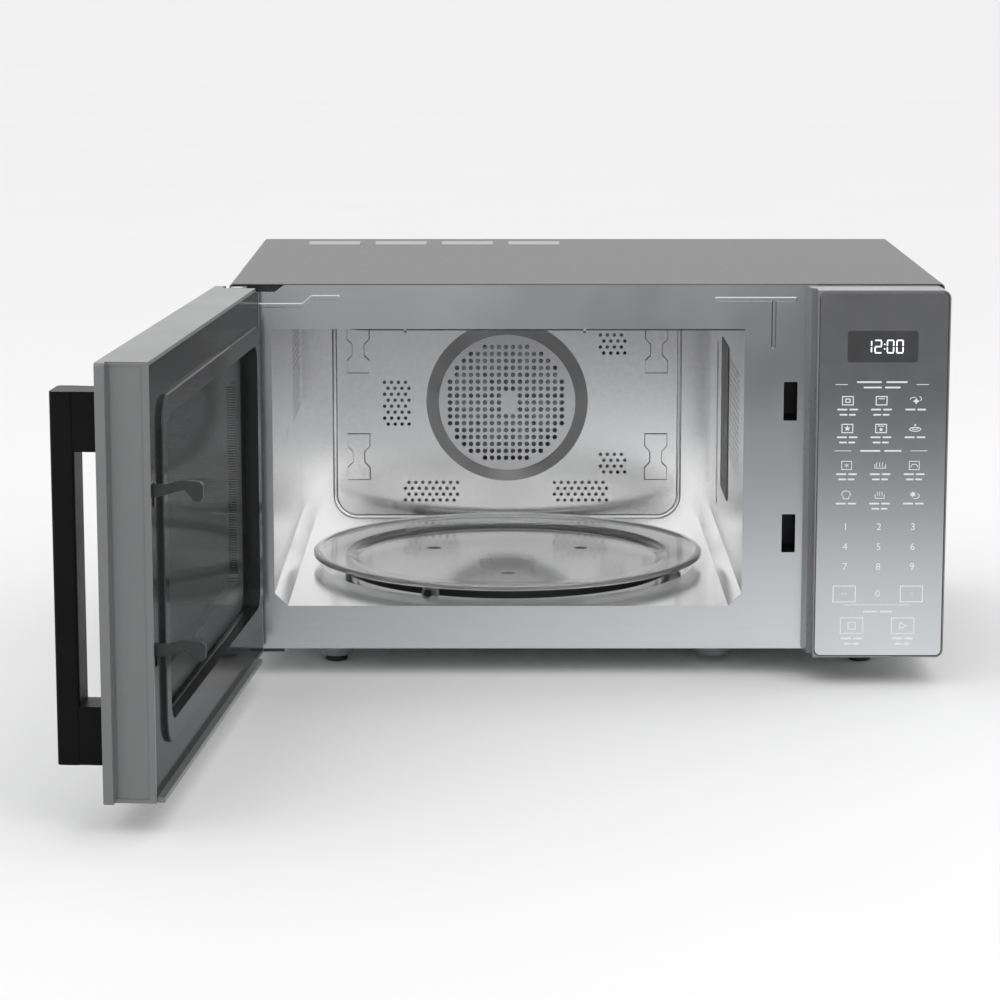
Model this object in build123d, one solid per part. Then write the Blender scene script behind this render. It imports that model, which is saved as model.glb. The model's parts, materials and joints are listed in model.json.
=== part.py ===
from build123d import *
import math
import os

os.makedirs("parts", exist_ok=True)

# A worktop microwave oven with a convection fan, modelled with its door open.
# Millimetres. +X to the right, +Y to the rear, +Z up. The origin is on the worktop,
# mid-width, in the plane of the steel front frame.

# ------------------------------------------------------------------ driving dimensions
# Sheet metal
sheet = 0.8
fit_gap = 0.1            # between static pieces that nest
moving_gap = 0.3         # between pieces that move past each other
running_gap = 0.05       # radial, shaft in bore

# Cavity and the spaces around it
cavity_width = 355.0
cavity_height = 212.0
cavity_depth = 342.0
corner_cut = 10.0        # 45 degree strip along the two floor edges
side_gap = 31.0          # left of the cavity to the outside of the casing
bay_width = 149.0        # right of the cavity to the outside of the casing
rise = 33.0              # underside of the casing to the cavity floor
roof_gap = 34.0
rear_gap = 16.0
foot_height = 20.0
foot_radius = 8.5
foot_pad = 5.0
wrapper_radius = 3.0
rear_flange = 14.0

# Turntable
plate_radius = 157.5
plate_thickness = 4.0
plate_rim_top = 5.6      # above the underside of the plate's raised band
well_radius = plate_radius - 7.5
well_depth = 7.0
table_offset = 3.0       # turntable axis behind the middle of the cavity
roller_radius = 6.6
roller_track = plate_radius - 20.3
roller_width = 6.0
ring_outer = roller_track - 5.2
ring_inner = ring_outer - 4.0
spindle_radius = 3.0

# Convection fan
fan_height = cavity_height / 2 + 1.8     # fan axis above the cavity floor
grille_outer = 69.2
grille_inner = 58.5
grille_rise = 9.0
grille_pitch = 6.0
grille_hole = 2.0
chamber_half_width = 112.0
chamber_drop = 13.0      # chamber's lower edge above the cavity floor
chamber_top = cavity_height - 22.0       # chamber's upper edge above the cavity floor
chamber_depth = 38.0
rear_cover_depth = 54.0
heater_ring = chamber_top - fan_height - 20.2
heater_tube = 3.2
fan_radius = heater_ring - heater_tube - 10.8

# Front frame
slot_width = 10.2
upper_slot_top = cavity_height - 40.0    # above the cavity floor
lower_slot_top = 71.0
slot_height = 29.4
slot_from_panel = 16.1   # slot centre to the left edge of the control panel

# Control panel
panel_width = 98.0
panel_depth = 36.0
panel_wall = 2.5
panel_flare = 5.6        # how much wider the panel is at its back
panel_step = 23.0        # depth of the flared part
panel_glass = 2.5
panel_lift = 1.2

# Door
door_gap = 1.0           # between door and control panel
door_depth = 32.3
door_stand_off = 5.4     # front frame to the door's inner plane
door_wall = 2.5
door_front_wall = 6.3
edge_groove = 1.8        # dark line between the front wall and the free edge's panel
edge_rim = 4.0           # plain strip of the free edge beside the inner panel
edge_recess = 0.6
door_open = 94.75        # degrees, at rest
pivot_in = 7.8           # hinge axis from the door's hinge edge
pivot_back = 20.1        # hinge axis in front of the front frame
pin_radius = 3.0
outer_glass = 3.2
inner_glass = 3.0
window_left = 26.0       # from the door's hinge edge
window_right = 388.0
window_low = 40.0        # above the door's lower edge
window_high = rise + cavity_height + roof_gap - 39.0
window_radius = 15.0
cover_margin = 12.0      # choke cover beyond the window
cover_rise = 2.6
cover_plate = 1.4
lining_depth = 8.4       # the cover's lining below the door's inner plane
hook_lift = 3.4          # top of the hook's root below the top of its slot
hook_rise = 3.0          # head above the root, which stays under the slot's top edge
hook_thickness = 5.0
handle_width = 28.0
handle_bar_depth = 15.0
handle_gap = 15.4
handle_height = rise + cavity_height + roof_gap - 43.0
handle_mount = 37.5

# ------------------------------------------------------------------ derived positions
body_width = side_gap + cavity_width + bay_width
body_height = rise + cavity_height + roof_gap
body_depth = cavity_depth + rear_gap
half = body_width / 2
base_z = foot_height
top_z = base_z + body_height
cav_x0 = -half + side_gap
cav_x1 = cav_x0 + cavity_width
cav_z0 = base_z + rise
cav_z1 = cav_z0 + cavity_height
cav_mid = (cav_x0 + cav_x1) / 2
table_y = cavity_depth / 2 + table_offset
well_z = cav_z0 - well_depth
roller_z = well_z + 0.2 + roller_radius      # roller axis, clear of the well's floor
fan_z = cav_z0 + fan_height
bay_x0 = cav_x1 + sheet
panel_x0 = half - panel_width
panel_z0 = base_z + panel_lift
panel_z1 = top_z - 1.0
frame_x0 = -half + sheet + fit_gap
frame_x1 = panel_x0 + panel_wall
slot_x = panel_x0 - slot_from_panel
slot_tops = [cav_z0 + upper_slot_top, cav_z0 + lower_slot_top]
door_x0 = -half
door_x1 = panel_x0 - door_gap
door_z0 = base_z + 0.3
door_z1 = top_z - 0.2
door_in = -door_stand_off
door_out = -(door_stand_off + door_depth)
door_mid = door_out + door_front_wall
inner_x1 = panel_x0 - panel_flare - 2.0
pivot_x = -half + pivot_in
pivot_y = -pivot_back
fan_axis_y = cavity_depth + sheet


# ------------------------------------------------------------------ helpers
def block(x0, x1, y0, y1, z0, z1):
    """Box between two corners."""
    middle = Pos((x0 + x1) / 2, (y0 + y1) / 2, (z0 + z1) / 2)
    return middle * Box(x1 - x0, y1 - y0, z1 - z0)


def rod(point, direction, radius, length):
    """Round bar that starts at a point and runs along a direction."""
    plane = Plane(origin=point, z_dir=direction)
    return plane * Cylinder(radius, length, align=(Align.CENTER, Align.CENTER, Align.MIN))


def pipe(point, direction, radius, bore, length):
    """Round bar with a bore right through it."""
    return rod(point, direction, radius, length) - rod(point, direction, bore, length)


def front_plane(y):
    """Plane facing the user: its x is the row's X, its y is the row's Z."""
    return Plane(origin=(0, y, 0), x_dir=(1, 0, 0), z_dir=(0, -1, 0))


def side_plane(x):
    """Plane facing +X: its x is the row's Y, its y is the row's Z."""
    return Plane(origin=(x, 0, 0), x_dir=(0, 1, 0), z_dir=(1, 0, 0))


def level(z):
    """Horizontal plane."""
    return Plane(origin=(0, 0, z))


def rect(x0, x1, y0, y1, radius=0.0):
    """Rectangle between two corners, in a plane's own coordinates."""
    middle = Pos((x0 + x1) / 2, (y0 + y1) / 2)
    if radius > 0:
        return middle * RectangleRounded(x1 - x0, y1 - y0, radius)
    return middle * Rectangle(x1 - x0, y1 - y0)


def outline(points):
    """Straight-sided closed shape."""
    return Face(Wire.make_polygon([(x, y, 0) for x, y in points]))


def slab(plane, edge, direction, thickness, holes=()):
    """Flat piece: an outline with holes, thickened along a direction."""
    cut = [hole.wire() for hole in holes]
    face = plane * Face(edge.wire(), cut)
    return extrude(face, amount=thickness, dir=direction)


def prism(plane, points, direction, thickness):
    """Straight-sided outline, thickened along a direction."""
    return extrude(plane * outline(points), amount=thickness, dir=direction)


def turned(points, axis_point, direction):
    """Solid of revolution from (radius, height) points about an axis."""
    z_axis = Vector(*direction)
    side = Vector(1, 0, 0) if abs(z_axis.X) < 0.5 else Vector(0, 1, 0)
    plane = Plane(origin=axis_point, x_dir=side, z_dir=side.cross(z_axis))
    return revolve(plane * outline(points), Axis(axis_point, direction))


def hole_field(x0, y0, columns, rows, radius, pitch_x=6.0, pitch_y=5.2, shift=1):
    """Staggered rows of round holes; shift 1 moves the first row, 0 the second."""
    field = []
    for row in range(rows):
        offset = pitch_x / 2 if (row + shift) % 2 else 0
        for column in range(columns):
            spot = Pos(x0 + column * pitch_x + offset, y0 + row * pitch_y)
            field.append(spot * Circle(radius))
    return field


def slot_field(x0, y0, columns, rows, width, height, pitch_x, pitch_y):
    """Rows of upright slots with round ends."""
    field = []
    for row in range(rows):
        for column in range(columns):
            x = x0 + column * pitch_x
            y = y0 + row * pitch_y
            field.append(rect(x - width / 2, x + width / 2, y, y + height, width * 0.49))
    return field


def opened(piece):
    """A door piece built closed, swung to the door's rest position."""
    hinge = Axis((pivot_x, pivot_y, 0), (0, 0, 1))
    return piece.rotate(hinge, -door_open)


# ------------------------------------------------------------------ casing
louvre_depth = 15.0
louvre_rise = 2.0
louvre_widths = 43.0
louvre_pitch = 56.0
louvre_first = 41.5      # left edge of the first louvre from the casing's left side
louvre_back = 42.0       # rear edge of the louvres from the casing's rear


def louvre(x0):
    """Stamped roof louvre: a sloping hood, wider at the rear, open to the rear."""
    y1 = body_depth - louvre_back
    y0 = y1 - louvre_depth
    profile = [(y0, top_z - sheet), (y0, top_z), (y1, top_z + louvre_rise),
               (y1, top_z + louvre_rise - sheet), (y0 + 4, top_z - sheet)]
    hood = prism(side_plane(x0), profile, (1, 0, 0), louvre_widths)
    cheek_shape = [(y0, top_z - sheet), (y0, top_z), (y1, top_z + louvre_rise), (y1, top_z - sheet)]
    left = prism(side_plane(x0), cheek_shape, (1, 0, 0), sheet)
    right = prism(side_plane(x0 + louvre_widths - sheet), cheek_shape, (1, 0, 0), sheet)
    return hood + left + right


def outer_wrapper():
    """Folded steel cover: roof and two sides with a flange round the back."""
    skin = block(-half, half, 0, body_depth, base_z, top_z)
    upper = skin.edges().filter_by(Axis.Y).group_by(Axis.Z)[-1]
    skin = fillet(upper, wrapper_radius)
    inside = block(-half + sheet, half - sheet, -1, body_depth - sheet, base_z - 1, top_z - sheet)
    upper = inside.edges().filter_by(Axis.Y).group_by(Axis.Z)[-1]
    inside = fillet(upper, wrapper_radius - sheet)
    skin -= inside
    skin -= block(-half + rear_flange, half - rear_flange, body_depth - 2 * sheet, body_depth + 1,
                  base_z - 1, top_z - rear_flange)
    vents = slot_field(body_depth - 130, base_z + 40, 14, 2, 3.2, 26, 8, 34)
    for slot in vents:
        skin -= extrude(side_plane(half - 2 * sheet) * slot, amount=3 * sheet, dir=(1, 0, 0))
    for slot in slot_field(body_depth - 130, cav_z1 - 40, 14, 1, 3.2, 26, 8, 34):
        skin -= extrude(side_plane(-half - sheet) * slot, amount=3 * sheet, dir=(1, 0, 0))
    for index in range(4):
        x0 = -half + louvre_first + index * louvre_pitch
        y1 = body_depth - louvre_back
        skin -= block(x0, x0 + louvre_widths, y1 - louvre_depth, y1, top_z - 2 * sheet, top_z + 1)
        skin += louvre(x0)
    return skin


dome_radius = 20.0
dome_floor_radius = 12.0
foot_inset_x = 75.0
foot_right_inset = 52.5
foot_front = 51.0
foot_rear = 58.0
spare_dome_x = 368.0     # pressed dome without a foot, from the casing's left side
base_flange = 11.0


def foot_places():
    """Centres of the four feet."""
    xs = [-half + foot_inset_x, half - foot_right_inset]
    ys = [foot_front, body_depth - foot_rear]
    return [(x, y) for x in xs for y in ys]


def dome(x, y):
    """Pressed dome that stands down from the base plate."""
    drop = foot_height - foot_pad
    profile = [(dome_radius, sheet), (dome_radius, 0), (dome_floor_radius, -drop), (0, -drop),
               (0, -drop + sheet), (dome_floor_radius - 0.6, -drop + sheet), (dome_radius - 1.2, sheet)]
    return turned(profile, (x, y, base_z), (0, 0, 1))


def base_plate():
    """Bottom pan with folded edges, four foot domes, a spare dome and air slots."""
    x0 = -half + sheet + fit_gap
    x1 = half - sheet - fit_gap
    y1 = body_depth - 2 * sheet
    domes = foot_places() + [(-half + spare_dome_x, foot_front)]
    holes = [Pos(x, y) * Circle(dome_radius - 1.2) for x, y in domes]
    holes += slot_field(cav_x1 + 10, table_y - 40, 12, 2, 4, 34, 9, 44)
    pan = slab(level(base_z), rect(x0, x1, sheet, y1), (0, 0, 1), sheet, holes)
    pan += block(x0, x0 + sheet, sheet, y1, base_z + sheet, base_z + base_flange)
    pan += block(x1 - sheet, x1, sheet, y1, base_z + sheet, base_z + base_flange)
    pan += block(x0 + sheet, x1 - sheet, y1 - sheet, y1, base_z + sheet, base_z + base_flange)
    for x, y in domes:
        pan += dome(x, y)
    for x, y in foot_places():
        pan -= rod((x, y, 0), (0, 0, 1), 4.0, base_z)
    return pan


def feet():
    """Four round feet pushed through the domes."""
    solids = []
    for x, y in foot_places():
        pad = rod((x, y, 0), (0, 0, 1), foot_radius, foot_pad)
        pad = fillet(pad.edges().group_by(Axis.Z)[0], 1.2)
        stem = rod((x, y, foot_pad), (0, 0, 1), 4.0 - fit_gap, sheet)
        barb = rod((x, y, foot_pad + sheet), (0, 0, 1), 5.2, 2.5)
        solids.append(pad + stem + barb)
    return Compound(children=solids)


def rear_panel():
    """Flat back with a window for the fan chamber, air slots and the cord's hole."""
    x0 = -half + sheet + fit_gap
    x1 = half - sheet - fit_gap
    z1 = top_z - sheet - fit_gap
    holes = [chamber_outline(1.0)]
    holes += slot_field(bay_x0 + 30, cav_z1 - 77, 10, 2, 4, 30, 10, 38)
    holes.append(Pos(half - 40, base_z + 34) * Circle(bush_neck + fit_gap))
    edge = outline([(x0, base_z), (x1, base_z), (x1, z1 - 2), (x1 - 2, z1), (x0 + 2, z1), (x0, z1 - 2)])
    return slab(front_plane(body_depth - sheet), edge, (0, -1, 0), sheet, holes)


bush_neck = 7.0
bush_bore = 4.0


def cord_inlet_bush():
    """Plastic bush that guards the cord's hole in the rear panel."""
    x = half - 40
    z = base_z + 34
    y = body_depth - sheet
    body = rod((x, y, z), (0, 1, 0), 10, 5)
    body += rod((x, y - sheet, z), (0, 1, 0), bush_neck, sheet)
    body += rod((x, y - sheet - 3, z), (0, 1, 0), 8.5, 3)
    return body - rod((x, y - 10, z), (0, 1, 0), bush_bore, 20)


def screw(point, direction):
    """Pan-head screw with a cross recess, driven along the opposite of its direction."""
    head = rod(point, direction, 3.6, 2.2)
    head = fillet(head.faces().sort_by(Axis(point, direction))[-1].edges(), 1.0)
    axis = Vector(*direction)
    deep = Vector(*point) + axis * 1.2
    plane = Plane(origin=(deep.X, deep.Y, deep.Z), z_dir=direction)
    head -= extrude(plane * Rectangle(3.6, 0.8), amount=2)
    head -= extrude(plane * Rectangle(0.8, 3.6), amount=2)
    return head


def cabinet_screws():
    """Screws through the wrapper's rear flange and into the sides."""
    y = body_depth
    inset = rear_flange / 2
    spots = [(-half + inset, y, base_z + 60), (-half + inset, y, top_z - 60)]
    spots += [(half - inset, y, base_z + 60), (half - inset, y, top_z - 60)]
    spots += [(-half / 2, y, top_z - inset), (half / 2, y, top_z - inset), (0, y, top_z - inset)]
    solids = [screw(spot, (0, 1, 0)) for spot in spots]
    solids += [screw((half, body_depth - 30, base_z + 9), (1, 0, 0))]
    solids += [screw((-half, body_depth - 30, base_z + 9), (-1, 0, 0))]
    return Compound(children=solids)


# ------------------------------------------------------------------ front frame
relief_width = 38.0
relief_height = 6.0
emboss_rise = 1.5
bar_width = 3.6


def cavity_outline(extra=0.0):
    """Cross-section of the cavity, with cut lower corners."""
    x0 = cav_x0 - extra
    x1 = cav_x1 + extra
    z0 = cav_z0 - extra
    z1 = cav_z1 + extra
    return outline([(x0 + corner_cut, z0), (x1 - corner_cut, z0), (x1, z0 + corner_cut), (x1, z1),
                    (x0, z1), (x0, z0 + corner_cut)])


def embossed_bar(points):
    """Raised half-round bar on the front frame, along a chain of (x, z) points."""
    bar = None
    for (xa, za), (xb, zb) in zip(points, points[1:]):
        run = Vector(xb - xa, 0, zb - za)
        piece = rod((xa, 0, za), (run.X, run.Y, run.Z), bar_width / 2, run.length)
        bar = piece if bar is None else bar + piece
    for x, z in points:
        bar += Pos(x, 0, z) * Sphere(bar_width / 2)
    flat = block(-half, half, -emboss_rise, 0, base_z, top_z)
    return bar & flat


def front_frame():
    """Steel front with the cavity's mouth, two latch slots and pressed stiffening bars."""
    z1 = top_z - sheet - fit_gap
    mouth = cavity_outline()
    slots = []
    for top in slot_tops:
        slots.append(rect(slot_x - slot_width / 2, slot_x + slot_width / 2, top - slot_height, top, 0.8))
    edge = rect(frame_x0, frame_x1, base_z, z1)
    plate = slab(front_plane(0), edge, (0, 1, 0), sheet, [mouth] + slots)
    relief = [(frame_x0 - 1, top_z - relief_height), (-half + relief_width - 4, top_z - relief_height),
              (-half + relief_width + 4, top_z), (frame_x0 - 1, top_z)]
    plate -= prism(front_plane(-1), relief, (0, 1, 0), 3)
    plate += block(frame_x1 - sheet, frame_x1, sheet, 14, base_z + 10, z1 - 10)
    right = panel_x0
    plate += embossed_bar([(right - 72.5, top_z - 11.5), (right - 13.6, top_z - 11.5)])
    plate += embossed_bar([(right - 29.5, top_z - 11.5), (right - 29.5, top_z - 47)])
    left = -half
    plate += embossed_bar([(left + 12, top_z - 16), (left + 55, top_z - 16), (left + 62, top_z - 10),
                           (left + 81, top_z - 10)])
    return plate


# ------------------------------------------------------------------ cavity
vent_hole = 1.5


def cavity_side(x, direction, holes):
    """Side wall above the cut corner."""
    edge = rect(sheet, cavity_depth, cav_z0 + corner_cut, cav_z1)
    return slab(side_plane(x), edge, direction, sheet, holes)


def cavity_left_wall():
    """Left wall with its exhaust holes and a small slot."""
    holes = hole_field(240, cav_z1 - 105, 15, 15, vent_hole)
    holes.append(rect(164, 167, cav_z1 - 111, cav_z1 - 100, 1.4))
    return cavity_side(cav_x0, (-1, 0, 0), holes)


mica_y0 = 161.0
mica_y1 = 237.0
mica_low = 52.0
mica_high = cavity_height - 35.0
channel_y0 = 279.0
channel_y1 = 297.0
channel_low = 28.0       # above the cavity floor
channel_high = cavity_height - 46.0
channel_depth = 5.0


def cavity_right_wall():
    """Right wall with light and air holes, the microwave port and a recessed channel."""
    holes = hole_field(48, cav_z1 - 120, 18, 16, vent_hole)
    holes += heater_holes()
    holes.append(rect(mica_y0 + 8, mica_y1 - 8, cav_z0 + mica_low + 20, cav_z0 + mica_high - 20, 4))
    z0 = cav_z0 + channel_low
    z1 = cav_z0 + channel_high
    holes.append(rect(channel_y0, channel_y1, z0, z1, 8))
    wall = cavity_side(cav_x1, (1, 0, 0), holes)
    channel = block(bay_x0, bay_x0 + channel_depth, channel_y0 - sheet, channel_y1 + sheet,
                    z0 - sheet, z1 + sheet)
    channel -= block(bay_x0, bay_x0 + channel_depth - sheet, channel_y0, channel_y1, z0, z1)
    return wall + channel


def cavity_ceiling():
    """Flat roof of the cavity."""
    return block(cav_x0 - sheet, cav_x1 + sheet, sheet, cavity_depth, cav_z1, cav_z1 + sheet)


def cavity_floor():
    """Floor with sloping edges and a round well for the turntable."""
    edge = rect(cav_x0 + corner_cut, cav_x1 - corner_cut, sheet, cavity_depth)
    rim = well_radius + 0.5
    hole = Pos(cav_mid, table_y) * Circle(rim)
    floor = slab(level(cav_z0), edge, (0, 0, -1), sheet, [hole])
    flat = well_radius - well_depth
    profile = [(rim, cav_z0), (flat, well_z), (9, well_z), (9, well_z - sheet),
               (flat + 0.3, well_z - sheet), (rim, cav_z0 - sheet)]
    floor += turned(profile, (cav_mid, table_y, 0), (0, 0, 1))
    for x, side in ((cav_x0, 1), (cav_x1, -1)):
        strip = [(x + side * corner_cut, cav_z0), (x, cav_z0 + corner_cut),
                 (x - side * sheet, cav_z0 + corner_cut), (x + side * corner_cut, cav_z0 - sheet)]
        floor += prism(front_plane(sheet), strip, (0, 1, 0), cavity_depth - sheet)
    return floor


bead_radius = 2.3
bead_sink = 0.9
bead_half_width = 148.2
bead_corner = 19.0
bow_rise = 1.3
bow_bevel = 0.9


def bow_tie(x, z):
    """Pressed panel with two square ends and a narrow waist."""
    w = 10.0
    n = 5.5
    h = 20.5
    s = 9.0
    k = s - (w - n)
    points = [(-w, -h), (w, -h), (w, -s), (n, -k), (n, k), (w, s), (w, h), (-w, h), (-w, s), (-n, k),
              (-n, -k), (-w, -s)]
    return [(x + a, z + b) for a, b in points]


def vent_groups():
    """The five groups of round holes in the rear wall."""
    groups = hole_field(cav_mid - 105.5, fan_z - 20.1, 4, 8, vent_hole)
    groups += hole_field(cav_mid + 80.1, cav_z1 - 62.6, 4, 4, vent_hole)
    groups += hole_field(cav_mid + 80.7, cav_z0 + 45.7, 4, 4, vent_hole)
    groups += hole_field(cav_mid - 87.9, cav_z0 + 21.1, 8, 4, vent_hole, shift=0)
    groups += hole_field(cav_mid + 41.0, cav_z0 + 21.1, 8, 4, vent_hole)
    return groups


def cavity_rear_wall():
    """Rear wall with a pressed bead, bow-tie pressings, air holes and the fan's hole."""
    y = cavity_depth
    rim = 7.0
    edge = cavity_outline(rim)
    holes = vent_groups() + [Pos(cav_mid, fan_z) * Circle(grille_outer + 0.5)]
    wall = slab(front_plane(y), edge, (0, 1, 0), sheet, holes)
    x0 = cav_mid - bead_half_width
    x1 = cav_mid + bead_half_width
    z0 = cav_z0 + 6.6
    z1 = cav_z1 - 12
    track = FilletPolyline((x0, y + bead_sink, z1), (x0, y + bead_sink, z0), (x1, y + bead_sink, z0),
                           (x1, y + bead_sink, z1), radius=bead_corner)
    start = Plane(origin=(x0, y + bead_sink, z1), z_dir=(0, 0, -1))
    bead = sweep(start * Circle(bead_radius), path=track)
    bead += Pos(x0, y + bead_sink, z1) * Sphere(bead_radius)
    bead += Pos(x1, y + bead_sink, z1) * Sphere(bead_radius)
    wall += bead & block(cav_x0, cav_x1, y - 5, y, cav_z0, cav_z1)
    for x in (cav_mid - 127.9, cav_mid + 128.3):
        for z in (cav_z0 + 59.3, cav_z1 - 59.7):
            raised = prism(front_plane(y), bow_tie(x, z), (0, -1, 0), bow_rise)
            wall += chamfer(raised.faces().sort_by(Axis.Y)[0].edges(), bow_bevel)
    return wall


def fan_cover():
    """Round bevelled grille over the fan, with a square grid of holes."""
    y = cavity_depth
    front = y - grille_rise
    profile = [(77, y + sheet), (69.6, y + sheet), (69.0, y), (grille_inner, front),
               (grille_inner - 3, front), (grille_inner - 3, front + sheet),
               (grille_inner - 0.4, front + sheet), (68.3, y + 0.7), (68.6, y + 2 * sheet),
               (77, y + 2 * sheet)]
    ring = turned(profile, (cav_mid, 0, fan_z), (0, 1, 0))
    holes = []
    for column in range(-8, 9):
        for row in range(-8, 9):
            blank = column in (0, 1) and abs(row) <= 1
            if column * column + row * row <= 75 and not blank:
                x = cav_mid - 1 + column * grille_pitch
                holes.append(Pos(x, fan_z + row * grille_pitch) * Circle(grille_hole))
    disc = Pos(cav_mid, fan_z) * Circle(grille_inner - 3)
    return ring + slab(front_plane(front), disc, (0, 1, 0), sheet, holes)


# ------------------------------------------------------------------ convection unit
def chamber_outline(extra):
    """Rounded rectangle behind the rear wall that the fan chamber fills."""
    return rect(cav_mid - chamber_half_width - extra, cav_mid + chamber_half_width + extra,
                cav_z0 + chamber_drop - extra, cav_z0 + chamber_top + extra, 12 + extra)


terminal_gap = 14.0


def terminal_places():
    """Where the ring heater's two ends leave the chamber."""
    z = fan_z + math.sqrt(heater_ring ** 2 - terminal_gap ** 2)
    return [(cav_mid + side * terminal_gap, z) for side in (-1, 1)]


def convection_housing():
    """Pressed tray behind the rear wall that holds the fan and its heater."""
    y0 = cavity_depth + sheet
    y1 = y0 + chamber_depth
    tray = extrude(front_plane(y0) * chamber_outline(0), amount=chamber_depth, dir=(0, 1, 0))
    tray -= extrude(front_plane(y0) * chamber_outline(-sheet), amount=chamber_depth - sheet, dir=(0, 1, 0))
    flange = slab(front_plane(y0), chamber_outline(7), (0, 1, 0), sheet, [chamber_outline(-sheet)])
    tray += flange
    tray -= rod((cav_mid, y1 - 5, fan_z), (0, 1, 0), 6, 10)
    for x, z in terminal_places():
        tray -= rod((x, y1 - 5, z), (0, 1, 0), heater_tube + fit_gap, 10)
    return tray


def convection_heater():
    """Ring-shaped tube heater with two terminals through the chamber's back."""
    y = fan_axis_y + 16
    reach = chamber_depth - 16 + 10
    ring_plane = Plane(origin=(cav_mid, y, fan_z), x_dir=(1, 0, 0), z_dir=(0, -1, 0))
    gap = math.degrees(math.asin(terminal_gap / heater_ring))
    arc = ring_plane * CenterArc((0, 0), heater_ring, 90 + gap, 360 - 2 * gap)
    start = Plane(origin=arc @ 0, z_dir=arc % 0)
    tube = sweep(start * Circle(heater_tube), path=arc)
    for end in (arc @ 0, arc @ 1):
        tube += Pos(end.X, end.Y, end.Z) * Sphere(heater_tube)
        tube += rod((end.X, end.Y, end.Z), (0, 1, 0), heater_tube, reach)
    return tube


def convection_fan():
    """Radial fan with its shaft."""
    y = fan_axis_y + 12
    wheel = rod((cav_mid, y + 14, fan_z), (0, 1, 0), fan_radius, 1.0)
    wheel += rod((cav_mid, y, fan_z), (0, 1, 0), 8, 15)
    for index in range(8):
        blade = block(cav_mid + 7, cav_mid + fan_radius - 1, y, y + 14.5, fan_z - 0.5, fan_z + 0.5)
        wheel += blade.rotate(Axis((cav_mid, 0, fan_z), (0, 1, 0)), 45 * index)
    return wheel + rod((cav_mid, y + 15, fan_z), (0, 1, 0), spindle_radius, 30)


def convection_motor():
    """Round motor on four posts behind the fan chamber."""
    y0 = cavity_depth + sheet + chamber_depth
    can = rod((cav_mid, y0 + 5, fan_z), (0, 1, 0), 27, 22)
    can = fillet(can.edges().group_by(Axis.Y)[-1], 2)
    for sx in (-1, 1):
        for sz in (-1, 1):
            can += rod((cav_mid + sx * 17, y0, fan_z + sz * 17), (0, 1, 0), 2.5, 5)
    return can - rod((cav_mid, y0, fan_z), (0, 1, 0), spindle_radius + running_gap, 22)


def convection_rear_cover():
    """Outer cover behind the fan motor, with air slots."""
    y0 = body_depth - sheet
    y1 = y0 + rear_cover_depth
    cover = extrude(front_plane(y0) * chamber_outline(9), amount=rear_cover_depth, dir=(0, 1, 0))
    cover = chamfer(cover.faces().sort_by(Axis.Y)[-1].edges(), 6)
    cover -= extrude(front_plane(y0) * chamber_outline(9 - sheet), amount=rear_cover_depth - 7, dir=(0, 1, 0))
    inner = extrude(front_plane(y1 - 7.5) * chamber_outline(3.4 - sheet), amount=7.5 - sheet, dir=(0, 1, 0))
    cover -= inner
    cover += slab(front_plane(y0), chamber_outline(18), (0, 1, 0), sheet, [chamber_outline(9 - sheet)])
    for slot in slot_field(cav_mid - 60, fan_z - 62, 11, 3, 4, 34, 12, 44):
        cover -= extrude(front_plane(y1 - 3) * slot, amount=6, dir=(0, 1, 0))
    return cover


# ------------------------------------------------------------------ grill
grill_drop = 10.0
grill_tube = 3.2


def grill_passes():
    """Y of the four straight passes of the grill tube."""
    return [table_y - 75, table_y - 25, table_y + 25, table_y + 75]


def heater_holes():
    """Holes in the right wall for the grill tube's two ends."""
    ys = grill_passes()
    z = cav_z1 - grill_drop
    return [Pos(ys[0], z) * Circle(grill_tube + fit_gap), Pos(ys[3], z) * Circle(grill_tube + fit_gap)]


def grill_heater():
    """Bent tube heater under the cavity's ceiling."""
    z = cav_z1 - grill_drop
    ya, yb, yc, yd = grill_passes()
    left = cav_mid - 125
    right = cav_mid + 105
    end = bay_x0 + 14
    path = FilletPolyline((end, ya, z), (left, ya, z), (left, yb, z), (right, yb, z), (right, yc, z),
                          (left, yc, z), (left, yd, z), (end, yd, z), radius=14)
    start = Plane(origin=(end, ya, z), z_dir=(-1, 0, 0))
    return sweep(start * Circle(grill_tube), path=path)


def grill_holders():
    """Steel clips that hang the grill tube from the ceiling."""
    solids = []
    z = cav_z1 - grill_drop
    ys = grill_passes()
    for x in (cav_mid - 80, cav_mid + 60):
        clip = block(x - 1, x + 1, ys[0] - 8, ys[3] + 8, z, cav_z1)
        for y in ys:
            clip += rod((x - 1, y, z), (1, 0, 0), grill_tube + 2, 2)
        for y in ys:
            clip -= rod((x - 2, y, z), (1, 0, 0), grill_tube + fit_gap, 4)
        solids.append(clip)
    return Compound(children=solids)


# ------------------------------------------------------------------ microwave source
def waveguide_cover():
    """Mica sheet over the microwave port."""
    edge = rect(mica_y0, mica_y1, cav_z0 + mica_low, cav_z0 + mica_high, 3)
    return slab(side_plane(cav_x1), edge, (-1, 0, 0), 0.6)


guide_width = 31.0
magnetron_y = 199.0
magnetron_z = (mica_low + mica_high) / 2     # above the cavity floor


def waveguide():
    """Steel duct that leads from the magnetron to the port."""
    y0 = mica_y0
    y1 = mica_y1
    z0 = cav_z0 + mica_low + 12
    z1 = cav_z0 + mica_high - 12
    duct = block(bay_x0, bay_x0 + guide_width, y0, y1, z0, z1)
    duct -= block(bay_x0, bay_x0 + guide_width - 1, y0 + 1, y1 - 1, z0 + 1, z1 - 1)
    bore = rod((bay_x0, magnetron_y, cav_z0 + magnetron_z), (1, 0, 0), 12, guide_width + 1)
    return duct - bore


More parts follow.
